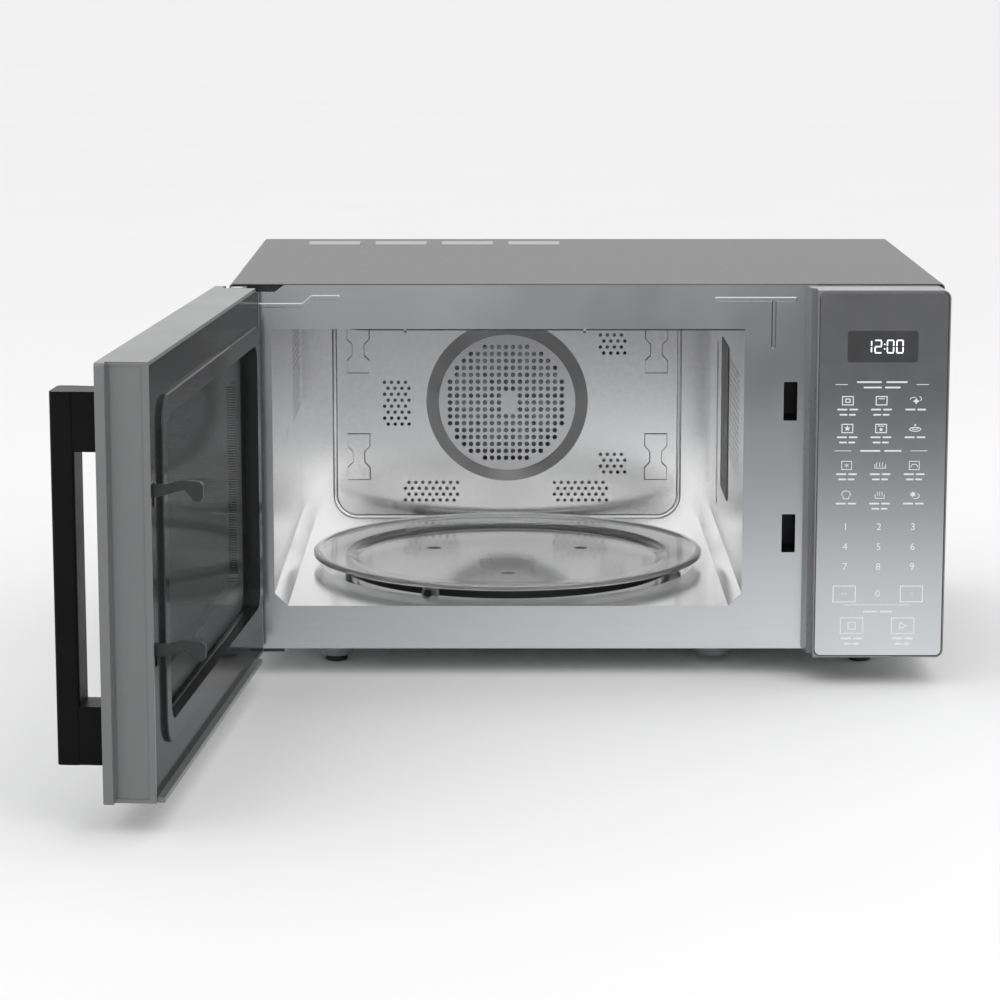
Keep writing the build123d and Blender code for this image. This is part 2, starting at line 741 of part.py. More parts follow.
def magnetron():
    """Finned magnetron with its yoke, antenna and filter box."""
    x0 = bay_x0 + guide_width
    z = cav_z0 + magnetron_z
    y = magnetron_y
    antenna = rod((x0 - 20, y, z), (1, 0, 0), 9, 20.5)
    yoke = block(x0, x0 + 2, y - 40, y + 40, z - 34, z + 34)
    yoke += block(x0, x0 + 56, y - 40, y + 40, z - 36, z - 34)
    yoke += block(x0, x0 + 56, y - 40, y + 40, z + 34, z + 36)
    yoke += block(x0 + 54, x0 + 56, y - 40, y + 40, z - 34, z + 34)
    core = rod((x0 + 2, y, z), (1, 0, 0), 20, 52)
    for index in range(9):
        x = x0 + 8 + index * 5
        core += block(x, x + 0.8, y - 38, y + 38, z - 34, z + 34)
    box = block(x0 + 56, x0 + 78, y - 26, y + 26, z - 30, z + 30)
    return antenna + yoke + core + box


def high_voltage_transformer():
    """Laminated transformer with two windings."""
    x0 = bay_x0 + 12
    y = magnetron_y - 4
    z0 = base_z + sheet
    core = block(x0, x0 + 86, y - 32, y + 32, z0 + 4, z0 + 66)
    coil = block(x0 + 16, x0 + 70, y - 50, y + 50, z0 + 16, z0 + 54)
    coil = fillet(coil.edges().filter_by(Axis.Z), 12)
    feet_plate = block(x0 - 6, x0 + 92, y - 36, y + 36, z0, z0 + 4)
    return core + coil + feet_plate


capacitor_y = 262.0


def capacitor_section(extra):
    """Flat-sided oval section of the capacitor, in a front plane."""
    x = bay_x0 + 40
    z = base_z + sheet + 2 + 18
    return Pos(x, z) * RectangleRounded(54 + 2 * extra, 36 + 2 * extra, 17 + extra)


def high_voltage_capacitor():
    """Oval can with two terminals."""
    can = extrude(front_plane(capacitor_y) * capacitor_section(0), amount=66, dir=(0, 1, 0))
    x = bay_x0 + 40
    z = base_z + sheet + 20
    can += block(x - 14, x - 13, capacitor_y - 9, capacitor_y, z - 3, z + 3)
    return can + block(x + 13, x + 14, capacitor_y - 9, capacitor_y, z - 3, z + 3)


def capacitor_clamp():
    """Steel strap that holds the capacitor down."""
    y = capacitor_y + 25
    strap = slab(front_plane(y), capacitor_section(fit_gap + 1.2), (0, 1, 0), 14,
                 [capacitor_section(fit_gap)])
    x = bay_x0 + 40
    foot = block(x + 6, x + 44, y, y + 14, base_z + sheet, base_z + sheet + 1.4)
    return strap + foot


def high_voltage_diode():
    """Small rod diode beside the capacitor."""
    x = bay_x0 + 80
    z = base_z + sheet + 12
    body = rod((x, capacitor_y + 5, z), (0, 1, 0), 3.5, 18)
    tag = block(x - 4, x + 4, capacitor_y + 23, capacitor_y + 24, base_z + sheet, z + 4)
    return body + tag


# ------------------------------------------------------------------ cooling and light
cooler_x = 62.0          # cooling fan axis from the bay's left side
cooler_z = cavity_height - 66.0          # above the cavity floor
cooler_radius = 44.0
cooler_y = 300.0
cooler_depth = 26.0


def cooling_fan_shroud():
    """Square plastic frame with a round duct and motor arms."""
    x = bay_x0 + cooler_x
    z = cav_z0 + cooler_z
    y1 = cooler_y + cooler_depth
    frame = block(x - 50, x + 50, cooler_y, y1, z - 50, z + 50)
    frame = fillet(frame.edges().filter_by(Axis.Y), 8)
    frame -= rod((x, cooler_y - 1, z), (0, 1, 0), cooler_radius + 1.5, cooler_depth + 2)
    frame += block(x - 47, x + 47, y1 - 3, y1, z - 4, z + 4)
    frame += block(x - 4, x + 4, y1 - 3, y1, z - 47, z + 47)
    frame += block(x - 52, x + 52, y1, body_depth - 2 * sheet, z - 52, z - 48)
    frame += block(x - 52, x + 52, y1, body_depth - 2 * sheet, z + 48, z + 52)
    return frame - rod((x, y1 - 5, z), (0, 1, 0), spindle_radius + 2, 8)


def cooling_fan_motor():
    """Shaded-pole motor on the shroud's arms."""
    x = bay_x0 + cooler_x
    z = cav_z0 + cooler_z
    y = cooler_y + cooler_depth
    body = block(x - 22, x + 22, y, y + 16, z - 26, z + 26)
    body += block(x - 30, x - 22, y + 2, y + 14, z - 14, z + 14)
    return body - rod((x, y - 1, z), (0, 1, 0), spindle_radius + running_gap, 14)


def cooling_fan_blade():
    """Five-bladed axial fan with its shaft."""
    x = bay_x0 + cooler_x
    z = cav_z0 + cooler_z
    y = cooler_y + 3
    wheel = rod((x, y, z), (0, 1, 0), 12, 16)
    for index in range(5):
        blade = Box(cooler_radius - 11.5, 1.2, 24)
        blade = Pos(11 + (cooler_radius - 11.5) / 2, 0, 0) * blade
        blade = Rot(32, 0, 0) * blade
        wheel += Pos(x, y + 8, z) * (Rot(0, 72 * index, 0) * blade)
    return wheel + rod((x, y + 16, z), (0, 1, 0), spindle_radius, 16)


def air_duct():
    """Plastic duct from the cooling fan to the magnetron's fins."""
    x0 = bay_x0 + guide_width + 5
    z = cav_z0 + magnetron_z
    y0 = magnetron_y + 41
    duct = block(x0, x0 + 50, y0, cooler_y - 1, z - 35, z + 35)
    duct -= block(x0 + 1.5, x0 + 48.5, y0 - 1, cooler_y, z - 33.5, z + 33.5)
    return duct


lamp_y = 96.0
lamp_z = cavity_height - 82.0            # above the cavity floor


def oven_lamp():
    """Small lamp in its holder, outside the right wall's holes."""
    z = cav_z0 + lamp_z
    bulb = rod((bay_x0 + 14, lamp_y, z), (1, 0, 0), 9, 24)
    bulb = fillet(bulb.edges().group_by(Axis.X)[0], 7)
    holder = rod((bay_x0 + 38, lamp_y, z), (1, 0, 0), 12, 16)
    bracket = block(bay_x0 + 54, bay_x0 + 55, lamp_y - 20, lamp_y + 20, z - 14, z + 14)
    bracket += block(bay_x0, bay_x0 + 55, lamp_y + 20, lamp_y + 21, z - 14, z + 14)
    return bulb + holder + bracket


def thermal_cutouts():
    """Two snap-disc cut-outs on the cavity's ceiling."""
    solids = []
    for x in (cav_mid - 60, cav_mid + 110):
        body = rod((x, table_y + 20, cav_z1 + sheet), (0, 0, 1), 8, 9)
        body += block(x - 12, x + 12, table_y + 14, table_y + 26, cav_z1 + sheet, cav_z1 + sheet + 1)
        solids.append(body)
    return Compound(children=solids)


# ------------------------------------------------------------------ turntable drive
motor_height = 18.0


def turntable_motor():
    """Flat synchronous motor under the cavity floor."""
    z1 = well_z - sheet
    can = rod((cav_mid, table_y, z1 - motor_height), (0, 0, 1), 24.5, motor_height)
    ears = block(cav_mid - 34, cav_mid + 34, table_y - 7, table_y + 7, z1 - 1.2, z1)
    return can + ears - rod((cav_mid, table_y, z1 - 13), (0, 0, 1), spindle_radius + running_gap, 14)


def turntable_coupler():
    """Three-lobed drive hub with its spindle."""
    z0 = well_z + moving_gap
    z1 = cav_z0 + 0.6
    hub = rod((cav_mid, table_y, z0), (0, 0, 1), 13, z1 - z0)
    for index in range(3):
        lobe = block(cav_mid, cav_mid + 22, table_y - 4, table_y + 4, z0, z1)
        hub += lobe.rotate(Axis((cav_mid, table_y, 0), (0, 0, 1)), 120 * index + 30)
    spindle = rod((cav_mid, table_y, well_z - sheet - 12), (0, 0, 1), spindle_radius, 14)
    return hub + spindle


def turntable_plate():
    """Round glass plate: flat centre, raised outer band and a rolled rim."""
    r = plate_radius
    under = cav_z0 + 1.0
    band = roller_z + roller_radius + moving_gap
    top = band + plate_rim_top
    step = ring_inner - 6
    profile = [(0, under), (step - 1, under), (step + 5, band), (r - 6, band), (r, band + 2.2),
               (r, top - 1.2), (r - 1.6, top), (r - 4.6, top), (r - 7.5, band + plate_thickness - 0.6),
               (step + 8, band + plate_thickness - 1.2), (step - 1, under + plate_thickness),
               (0, under + plate_thickness)]
    plate = turned(profile, (cav_mid, table_y, 0), (0, 0, 1))
    for index in range(3):
        rib = block(cav_mid + 15, cav_mid + 25, table_y - 3, table_y + 3, under - 4, under)
        plate += rib.rotate(Axis((cav_mid, table_y, 0), (0, 0, 1)), 120 * index + 90)
        bump = Pos(cav_mid + 70, table_y, under + plate_thickness - 17.4) * Sphere(18.5)
        bump &= block(cav_mid + 55, cav_mid + 85, table_y - 15, table_y + 15,
                      under + plate_thickness, under + plate_thickness + 3)
        plate += bump.rotate(Axis((cav_mid, table_y, 0), (0, 0, 1)), 120 * index + 30)
    return plate


roller_angles = (-116.0, 4.0, 124.0)
ring_height = 5.5


def roller_ring():
    """Plastic ring with three stub axles."""
    z0 = roller_z - ring_height / 2
    ring = pipe((cav_mid, table_y, z0), (0, 0, 1), ring_outer, ring_inner, ring_height)
    inner = roller_track - roller_width / 2
    outer = roller_track + roller_width / 2
    for angle in roller_angles:
        axle = rod((cav_mid + ring_outer - 1, table_y, roller_z), (1, 0, 0), 1.5, outer + 1.5 - ring_outer + 1)
        shoulder = rod((cav_mid + ring_outer - 1, table_y, roller_z), (1, 0, 0), 3.0,
                       inner - moving_gap - ring_outer + 1)
        head = rod((cav_mid + outer + moving_gap, table_y, roller_z), (1, 0, 0), 3.2, 1.5)
        piece = axle + shoulder + head
        ring += piece.rotate(Axis((cav_mid, table_y, 0), (0, 0, 1)), angle)
    return ring


def roller(angle):
    """Small wheel on one of the ring's axles."""
    start = (cav_mid + roller_track - roller_width / 2, table_y, roller_z)
    wheel = pipe(start, (1, 0, 0), roller_radius, 1.5 + running_gap, roller_width)
    wheel = chamfer(wheel.edges().filter_by(GeomType.CIRCLE).group_by(SortBy.RADIUS)[-1], 0.6)
    return wheel.rotate(Axis((cav_mid, table_y, 0), (0, 0, 1)), angle)


# ------------------------------------------------------------------ interlock
def interlock_bracket():
    """Plastic block behind the latch slots, with a pocket for each hook."""
    z0 = slot_tops[1] - slot_height - 8
    z1 = slot_tops[0] + 8
    body = block(slot_x - 10, slot_x + 10, sheet, 40, z0, z1)
    for top in slot_tops:
        body -= block(slot_x - 6.2, slot_x + 7.2, 0, 36, top - slot_height, top + 0.4)
    middle = (slot_tops[1] + 8, slot_tops[0] - slot_height - 8)
    return body - block(slot_x - 8, slot_x + 11, 3, 36, middle[0], middle[1])


def interlock_switches():
    """Three small switches on the side of the bracket."""
    solids = []
    for z in (slot_tops[0] - 18, slot_tops[1] - 18, slot_tops[1] + 14):
        body = block(slot_x + 10, slot_x + 16, 6, 34, z, z + 16)
        for y in (10, 20, 30):
            body += block(slot_x + 12, slot_x + 12.8, y, y + 3, z - 6, z)
        solids.append(body)
    return Compound(children=solids)


# ------------------------------------------------------------------ control panel
display_width = 56.0
display_height = 30.0
display_from_left = 21.0
display_from_top = 30.0


def control_panel_housing():
    """Plastic box with a flared left side and a rebate for the glass."""
    x0 = panel_x0
    x1 = half
    flare = [(x0, -panel_depth), (x1, -panel_depth), (x1, 0), (x0 - panel_flare, 0),
             (x0 - panel_flare + 2.2, -panel_step + 3), (x0, -panel_step)]
    shell = prism(level(panel_z0), flare, (0, 0, 1), panel_z1 - panel_z0)
    right = shell.edges().filter_by(Axis.Y).group_by(Axis.X)[-1]
    shell = fillet(right, 6)
    w = panel_wall
    shell -= block(x0 + w, x1 - w, -panel_depth + panel_glass + w, 1, panel_z0 + w, panel_z1 - w)
    rebate = rect(x0 + 1, x1 - 1, panel_z0 + 1, panel_z1 - 1, 5)
    shell -= extrude(front_plane(-panel_depth - 1) * rebate, amount=panel_glass + 1, dir=(0, 1, 0))
    window = rect(x0 + 6, x1 - 6, panel_z0 + 8, panel_z1 - 8, 3)
    return shell - extrude(front_plane(-panel_depth) * window, amount=12, dir=(0, 1, 0))


def control_panel_glass():
    """Mirror glass front of the control panel."""
    gap = 1 + fit_gap
    edge = rect(panel_x0 + gap, half - gap, panel_z0 + gap, panel_z1 - gap, 5 - fit_gap)
    glass = slab(front_plane(-panel_depth), edge, (0, 1, 0), panel_glass)
    return chamfer(glass.faces().sort_by(Axis.Y)[0].edges(), 0.7)


def display_module():
    """Numeric display behind the glass."""
    x0 = panel_x0 + display_from_left
    z1 = panel_z1 - display_from_top
    y0 = -panel_depth + panel_glass
    return block(x0, x0 + display_width, y0, y0 + 8, z1 - display_height, z1)


def touch_board():
    """Touch sensing board behind the glass, below the display."""
    y0 = -panel_depth + panel_glass
    z1 = panel_z1 - display_from_top - display_height - 2
    edge = rect(panel_x0 + 8, half - 8, panel_z0 + 12, z1)
    return slab(front_plane(y0), edge, (0, 1, 0), 1.6)


def control_board():
    """Main board with its relays, transformer and connectors."""
    y0 = -panel_depth + 20
    x0 = panel_x0 + 6
    x1 = half - 6
    z0 = panel_z0 + 20
    z1 = panel_z1 - 20
    board = block(x0, x1, y0, y0 + 1.6, z0, z1)
    for index in range(3):
        z = z0 + 14 + index * 24
        board += block(x0 + 8, x0 + 26, y0 + 1.6, y0 + 14, z, z + 18)
    board += block(x0 + 40, x0 + 76, y0 + 1.6, y0 + 15, z0 + 20, z0 + 52)
    board += rod((x0 + 60, y0 + 1.6, z0 + 90), (0, 1, 0), 8, 12)
    for index in range(5):
        board += block(x0 + 10 + index * 14, x0 + 20 + index * 14, y0 + 1.6, y0 + 10, z1 - 18, z1 - 8)
    for x in (x0 + 3, x1 - 3):
        board += block(x - 2, x + 2, y0 - 11.4, y0, z0 + 2, z0 + 6)
        board += block(x - 2, x + 2, y0 - 11.4, y0, z1 - 6, z1 - 2)
    return board


def filter_board():
    """Mains filter board in the upper bay."""
    x0 = bay_x0 + 20
    z = cav_z1 + 4
    board = block(x0, x0 + 90, 60, 130, z, z + 1.6)
    board += rod((x0 + 26, 95, z + 1.6), (0, 0, 1), 13, 14)
    board += block(x0 + 50, x0 + 76, 70, 88, z + 1.6, z + 16)
    board += block(x0 + 50, x0 + 62, 100, 122, z + 1.6, z + 12)
    bracket = block(bay_x0 - sheet, x0, 64, 126, z, z + 1)
    return board + bracket + block(bay_x0 - sheet, bay_x0, 64, 126, cav_z1 + sheet, z)


# ------------------------------------------------------------------ hinges
hinge_arm = 6.0
hinge_plate = 2.5
upper_hinge_z = top_z - 3.8
lower_hinge_z = base_z - 2.8


def hinge_brackets():
    """Upper and lower hinge brackets, fixed behind the front frame and under the base."""
    solids = []
    for z in (upper_hinge_z, lower_hinge_z):
        arm = rod((pivot_x, pivot_y, z), (0, 0, 1), hinge_arm, hinge_plate)
        arm += block(pivot_x - hinge_arm, pivot_x + hinge_arm, pivot_y, 14, z, z + hinge_plate)
        arm += block(pivot_x - hinge_arm, pivot_x + 30, 1.2, 14, z, z + hinge_plate)
        if z > base_z:
            arm += block(pivot_x - hinge_arm + 4, pivot_x + 30, sheet, sheet + hinge_plate,
                         cav_z1 + sheet + 2, z + 1)
        else:
            arm += block(pivot_x - hinge_arm, pivot_x + 30, 1.2, 14, z + 1, base_z)
        solids.append(arm - rod((pivot_x, pivot_y, z - 1), (0, 0, 1), pin_radius + 0.01, hinge_plate + 2))
    return Compound(children=solids)


def hinge_pins():
    """Riveted pins in the two brackets."""
    upper = rod((pivot_x, pivot_y, upper_hinge_z - 9), (0, 0, 1), pin_radius, 9 + hinge_plate)
    upper += rod((pivot_x, pivot_y, upper_hinge_z + hinge_plate), (0, 0, 1), 4.4, 0.9)
    lower = rod((pivot_x, pivot_y, lower_hinge_z), (0, 0, 1), pin_radius, 9 + hinge_plate)
    lower += rod((pivot_x, pivot_y, lower_hinge_z - 0.9), (0, 0, 1), 4.4, 0.9)
    return Compound(children=[upper, lower])


# ------------------------------------------------------------------ door, built closed
def window_rect(extra, radius):
    """The door's window, grown by a margin."""
    return rect(door_x0 + window_left - extra, door_x0 + window_right + extra,
                door_z0 + window_low - extra, door_z0 + window_high + extra, radius)


hinge_pocket_in = 15.5
hinge_pocket_back = 24.6


def door_frame():
    """Moulded door frame: front wall, four side walls, hinge bosses and latch guides."""
    front = slab(front_plane(door_out), rect(door_x0, door_x1, door_z0, door_z1, 2), (0, 1, 0),
                 door_front_wall, [window_rect(-2, window_radius)])
    rebate = rect(door_x0 + door_wall, door_x1 - door_wall, door_z0 + door_wall, door_z1 - door_wall, 2)
    front -= extrude(front_plane(door_out - 1) * rebate, amount=outer_glass + 1, dir=(0, 1, 0))
    frame = front
    for z in handle_screw_heights():
        frame -= rod((handle_x, door_out - 1, z), (0, 1, 0), screw_radius + fit_gap, door_front_wall + 2)
    w = door_wall
    frame += block(door_x0, door_x0 + w, door_mid - 1, door_in, door_z0 + 1.5, door_z1 - 1.5)
    frame += block(door_x0, inner_x1, door_mid - 1, door_in, door_z0, door_z0 + w)
    frame += block(door_x0, inner_x1, door_mid - 1, door_in, door_z1 - w, door_z1)
    frame += block(inner_x1 - w, inner_x1, door_mid - 1, door_in, door_z0, door_z1)
    z0 = door_z0 + w
    z1 = door_z1 - w
    frame -= block(inner_x1 - w / 2, inner_x1 + 1, door_mid, door_mid + edge_groove, z0, z1)
    frame -= block(inner_x1 - edge_recess, inner_x1 + 1, door_mid, door_in - edge_rim, z0, z1)
    frame += block(door_x0 + 37, inner_x1 - 3, door_in, -0.6, door_z0, door_z0 + 3.2)
    for z0, z1 in ((upper_hinge_z - 10, door_z1 - w), (door_z0 + w, door_z0 + w + 9)):
        frame += block(door_x0 + w, pivot_x + 7.5, door_mid - 1, pivot_y + 7.5, z0, z1)
    frame -= block(door_x0 - 1, door_x0 + hinge_pocket_in, door_in - hinge_pocket_back, door_in + 1,
                   upper_hinge_z - 1, door_z1 + 1)
    frame -= rod((pivot_x, pivot_y, upper_hinge_z - 11), (0, 0, 1), pin_radius + running_gap, 12)
    frame -= rod((pivot_x, pivot_y, door_z0 - 1), (0, 0, 1), pin_radius + running_gap, 13)
    guide = latch_half + moving_gap
    z0 = slot_tops[1] + 25
    frame += block(slot_x - guide - 3, slot_x - guide, door_mid - 1, latch_out + 2, z0, z0 + 40)
    frame += block(slot_x + guide, slot_x + guide + 1.6, door_mid - 1, latch_out + 2, z0, z0 + 40)
    return frame + block(slot_x - seat_half, slot_x + seat_half, door_mid - 1, latch_in - 1,
                         spring_z - 4, spring_z)


def door_outer_glass():
    """Mirror glass sheet over the whole front of the door."""
    w = door_wall + fit_gap
    edge = rect(door_x0 + w, door_x1 - w, door_z0 + w, door_z1 - w, 1.8)
    mounts = [Pos(handle_x, z) * Circle(3) for z in handle_screw_heights()]
    glass = slab(front_plane(door_out), edge, (0, 1, 0), outer_glass, mounts)
    return chamfer(glass.faces().sort_by(Axis.Y)[0].outer_wire().edges(), 0.8)


choke_depth = 11.0


def hook_slots():
    """Slots in the door's steel panel that the hooks pass through."""
    slots = []
    for top in slot_tops:
        z1 = top - hook_lift + 0.5
        slots.append(rect(slot_x - 3.8, slot_x + 3.2, z1 - 14.5, z1))
    return slots


def door_inner_frame():
    """Enamelled steel inner panel with a channel round the window."""
    x0 = door_x0 + door_wall + fit_gap
    z0 = door_z0 + door_wall + fit_gap
    z1 = door_z1 - door_wall - fit_gap
    x1 = inner_x1 - door_wall - fit_gap
    panel = slab(front_plane(door_in), rect(x0, x1, z0, z1), (0, -1, 0), sheet,
                 [window_rect(0, window_radius)] + hook_slots())
    panel -= block(x0 - 1, door_x0 + hinge_pocket_in, door_in - 2, door_in + 1, upper_hinge_z - 1, z1 + 1)
    ring = slab(front_plane(door_in - sheet), window_rect(sheet, window_radius + sheet), (0, -1, 0),
                choke_depth, [window_rect(0, window_radius)])
    return panel + ring


def door_choke_cover():
    """Dark plastic cover that stands proud round the window and lines its edge."""
    y0 = door_in + cover_rise
    outer = window_rect(cover_margin, window_radius + 4)
    lip = 1.6
    opening = [window_rect(-0.2 - lip, window_radius - lip)]
    cover = slab(front_plane(y0), outer, (0, -1, 0), cover_plate, opening)
    y1 = y0 - cover_plate
    cover += slab(front_plane(y1), outer, (0, -1, 0), cover_rise - cover_plate,
                  [window_rect(cover_margin - 1.8, window_radius + 2.2)])
    cover += slab(front_plane(y1), window_rect(-0.2, window_radius), (0, -1, 0),
                  cover_rise - cover_plate + lining_depth, opening)
    rim = cover.faces().sort_by(Axis.Y)[-1].outer_wire().edges()
    return chamfer(rim, 0.8)


screen_dish = 7.0
screen_margin = 24.0


def door_screen():
    """Perforated steel screen: a flat border welded to the channel and a dished middle."""
    y0 = door_in - sheet - choke_depth
    border = slab(front_plane(y0), window_rect(sheet, window_radius + sheet), (0, -1, 0), sheet,
                  [window_rect(-screen_margin, 8)])
    wall = slab(front_plane(y0 - sheet), window_rect(-screen_margin + sheet, 8 + sheet), (0, -1, 0),
                screen_dish - 2 * sheet, [window_rect(-screen_margin, 8)])
    floor = slab(front_plane(y0 - screen_dish + sheet), window_rect(-screen_margin + sheet, 8 + sheet),
                 (0, -1, 0), sheet)
    return border + wall + floor


def door_inner_glass():
    """Clear glass sheet inside the choke cover."""
    y0 = door_in - 4
    edge = window_rect(-0.2 - 1.6 - fit_gap, window_radius - 1.8)
    return slab(front_plane(y0), edge, (0, -1, 0), inner_glass)


# ------------------------------------------------------------------ latch
latch_half = 5.0
latch_in = door_in - 2.0
latch_out = door_in - 8.6
spring_z = slot_tops[1] - 55.0
seat_half = 3.1
spring_length = 20.0
spring_radius = 2.6
spring_wire = 0.45


def hook_outline(top):
    """Side view of a hook: flat root, rising arm and a head that hangs down."""
    z = top - hook_lift
    y = door_in
    return [(y - 3, z), (y + 8, z), (y + 20.3, z + hook_rise), (y + 29.2, z + 2.2), (y + 31.6, z),
            (y + 31.2, z - 8.3), (y + 29, z - 10.2), (y + 25.6, z - 10), (y + 20.1, z - 2.9),
            (y + 3.4, z - 7.5), (y - 3, z - 7.5)]


def door_latch():
    """Sliding latch bar with two hooks."""
    z0 = spring_z + spring_length
    z1 = slot_tops[0] + 4
    bar = block(slot_x - latch_half, slot_x + latch_half, latch_out, latch_in, z0, z1)
    for top in slot_tops:
        x0 = slot_x - 0.6 - hook_thickness / 2
        hook = prism(side_plane(x0), hook_outline(top), (1, 0, 0), hook_thickness)
        bar += hook
    return bar


def latch_spring():
    """Compression spring under the latch bar."""
    turns = 7
    y = (latch_in + latch_out) / 2
    pitch = (spring_length - 2 * spring_wire) / turns
    helix = Helix(pitch, spring_length - 2 * spring_wire, spring_radius)
    section = Plane(origin=helix @ 0, z_dir=helix % 0) * Circle(spring_wire)
    coil = sweep(section, path=helix, is_frenet=True)
    return Pos(slot_x, y, spring_z + spring_wire) * coil


# ------------------------------------------------------------------ handle
handle_x = door_x1 - 8 - handle_width / 2
handle_z0 = door_z0 + 23.4


screw_radius = 2.0
screw_head = 3.5


def handle_screw_heights():
    """Heights of the two handle screws."""
    return [handle_z0 + handle_mount / 2, handle_z0 + handle_height - handle_mount / 2]


def door_handle():
    """Straight bar handle on two mounts."""
    x0 = handle_x - handle_width / 2
    x1 = handle_x + handle_width / 2
    y0 = door_out - handle_gap - handle_bar_depth
    z1 = handle_z0 + handle_height
    grip = block(x0, x1, y0, door_out - handle_gap, handle_z0, z1)
    grip = fillet(grip.edges().filter_by(Axis.Z), 3)
    for za, zb in ((handle_z0, handle_z0 + handle_mount), (z1 - handle_mount, z1)):
        grip += block(x0 + 1, x1 - 1, door_out - handle_gap - 4, door_out, za, zb)
    for z in handle_screw_heights():
        grip -= rod((handle_x, door_out, z), (0, -1, 0), screw_radius + 0.02, 14)
    return grip


def handle_screws():
    """Two screws that hold the handle from inside the door."""
    solids = []
    for z in handle_screw_heights():
        shank = rod((handle_x, door_mid, z), (0, -1, 0), screw_radius, 16)
        shank += rod((handle_x, door_mid, z), (0, 1, 0), screw_head, 2.4)
        solids.append(shank)
    return Compound(children=solids)


# ------------------------------------------------------------------ write every piece
fixed_pieces = {
    "outer_wrapper": outer_wrapper,
    "base_plate": base_plate,
    "rear_panel": rear_panel,
    "front_frame": front_frame,
    "feet": feet,
    "cabinet_screws": cabinet_screws,
    "cord_inlet_bush": cord_inlet_bush,
    "cavity_left_wall": cavity_left_wall,
    "cavity_right_wall": cavity_right_wall,
    "cavity_ceiling": cavity_ceiling,
    "cavity_floor": cavity_floor,
    "cavity_rear_wall": cavity_rear_wall,
    "fan_cover": fan_cover,
    "convection_housing": convection_housing,
    "convection_heater": convection_heater,
    "convection_motor": convection_motor,
    "convection_fan": convection_fan,
    "convection_rear_cover": convection_rear_cover,
    "grill_heater": grill_heater,
    "grill_holders": grill_holders,
    "waveguide_cover": waveguide_cover,
    "waveguide": waveguide,
    "magnetron": magnetron,
    "high_voltage_transformer": high_voltage_transformer,
    "high_voltage_capacitor": high_voltage_capacitor,
    "capacitor_clamp": capacitor_clamp,
    "high_voltage_diode": high_voltage_diode,
    "cooling_fan_shroud": cooling_fan_shroud,
    "cooling_fan_motor": cooling_fan_motor,
    "cooling_fan_blade": cooling_fan_blade,
    "air_duct": air_duct,
    "oven_lamp": oven_lamp,
    "thermal_cutouts": thermal_cutouts,
    "turntable_motor": turntable_motor,
    "turntable_coupler": turntable_coupler,
    "turntable_plate": turntable_plate,
    "roller_ring": roller_ring,
    "interlock_bracket": interlock_bracket,
    "interlock_switches": interlock_switches,
    "control_panel_housing": control_panel_housing,
    "control_panel_glass": control_panel_glass,
    "display_module": display_module,
    "touch_board": touch_board,
    "control_board": control_board,
    "filter_board": filter_board,
    "hinge_brackets": hinge_brackets,
    "hinge_pins": hinge_pins,
}

door_pieces = {
    "door_frame": door_frame,
    "door_outer_glass": door_outer_glass,
    "door_inner_frame": door_inner_frame,
    "door_choke_cover": door_choke_cover,
    "door_screen": door_screen,
    "door_inner_glass": door_inner_glass,
    "door_handle": door_handle,
    "handle_screws": handle_screws,
    "door_latch": door_latch,
    "latch_spring": latch_spring,
}

for name, build in fixed_pieces.items():
    export_step(build(), f"parts/{name}.step")
for name, build in door_pieces.items():
    export_step(opened(build()), f"parts/{name}.step")
for number, angle in enumerate(roller_angles, start=1):
    export_step(roller(angle), f"parts/roller_{number}.step")
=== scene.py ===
import json
import math

import bpy
from mathutils import Matrix, Vector


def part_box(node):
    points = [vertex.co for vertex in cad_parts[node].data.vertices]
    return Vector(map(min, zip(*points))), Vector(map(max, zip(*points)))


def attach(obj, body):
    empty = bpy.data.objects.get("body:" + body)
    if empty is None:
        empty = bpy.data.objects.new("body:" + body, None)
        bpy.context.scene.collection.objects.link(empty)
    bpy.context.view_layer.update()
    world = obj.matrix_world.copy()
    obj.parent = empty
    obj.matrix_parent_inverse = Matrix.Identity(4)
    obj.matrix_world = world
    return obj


# Looks for a worktop microwave oven with its door open: materials for every CAD piece, the
# printed marks and lit clock on the control panel, and a pale studio around it. Metres.

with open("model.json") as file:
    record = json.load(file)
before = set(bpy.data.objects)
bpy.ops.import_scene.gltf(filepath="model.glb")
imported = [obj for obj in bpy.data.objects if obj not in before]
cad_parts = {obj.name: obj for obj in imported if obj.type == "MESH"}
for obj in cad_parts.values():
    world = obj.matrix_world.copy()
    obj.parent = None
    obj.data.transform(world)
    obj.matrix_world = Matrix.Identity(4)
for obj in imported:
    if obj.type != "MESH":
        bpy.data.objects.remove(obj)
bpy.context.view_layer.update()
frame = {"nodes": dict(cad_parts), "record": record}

MM = 0.001
DOOR_OPEN = math.radians(94.75)      # the door's angle at rest


# ------------------------------------------------------------------ node helpers
def material(name, colour=(0.5, 0.5, 0.5), metallic=0.0, roughness=0.5, **sockets):
    """A new principled material with constants set on its own sockets."""
    mat = bpy.data.materials.new(name)
    mat.use_nodes = True
    shader = mat.node_tree.nodes["Principled BSDF"]
    shader.inputs["Base Color"].default_value = (*colour, 1.0)
    shader.inputs["Metallic"].default_value = metallic
    shader.inputs["Roughness"].default_value = roughness
    for socket, value in sockets.items():
        shader.inputs[socket.replace("_", " ")].default_value = value
    return mat


def add(mat, kind, **settings):
    """A node of one kind with its settings."""
    node = mat.node_tree.nodes.new(kind)
    for key, value in settings.items():
        setattr(node, key, value)
    return node


def join(mat, output, target):
    mat.node_tree.links.new(output, target)


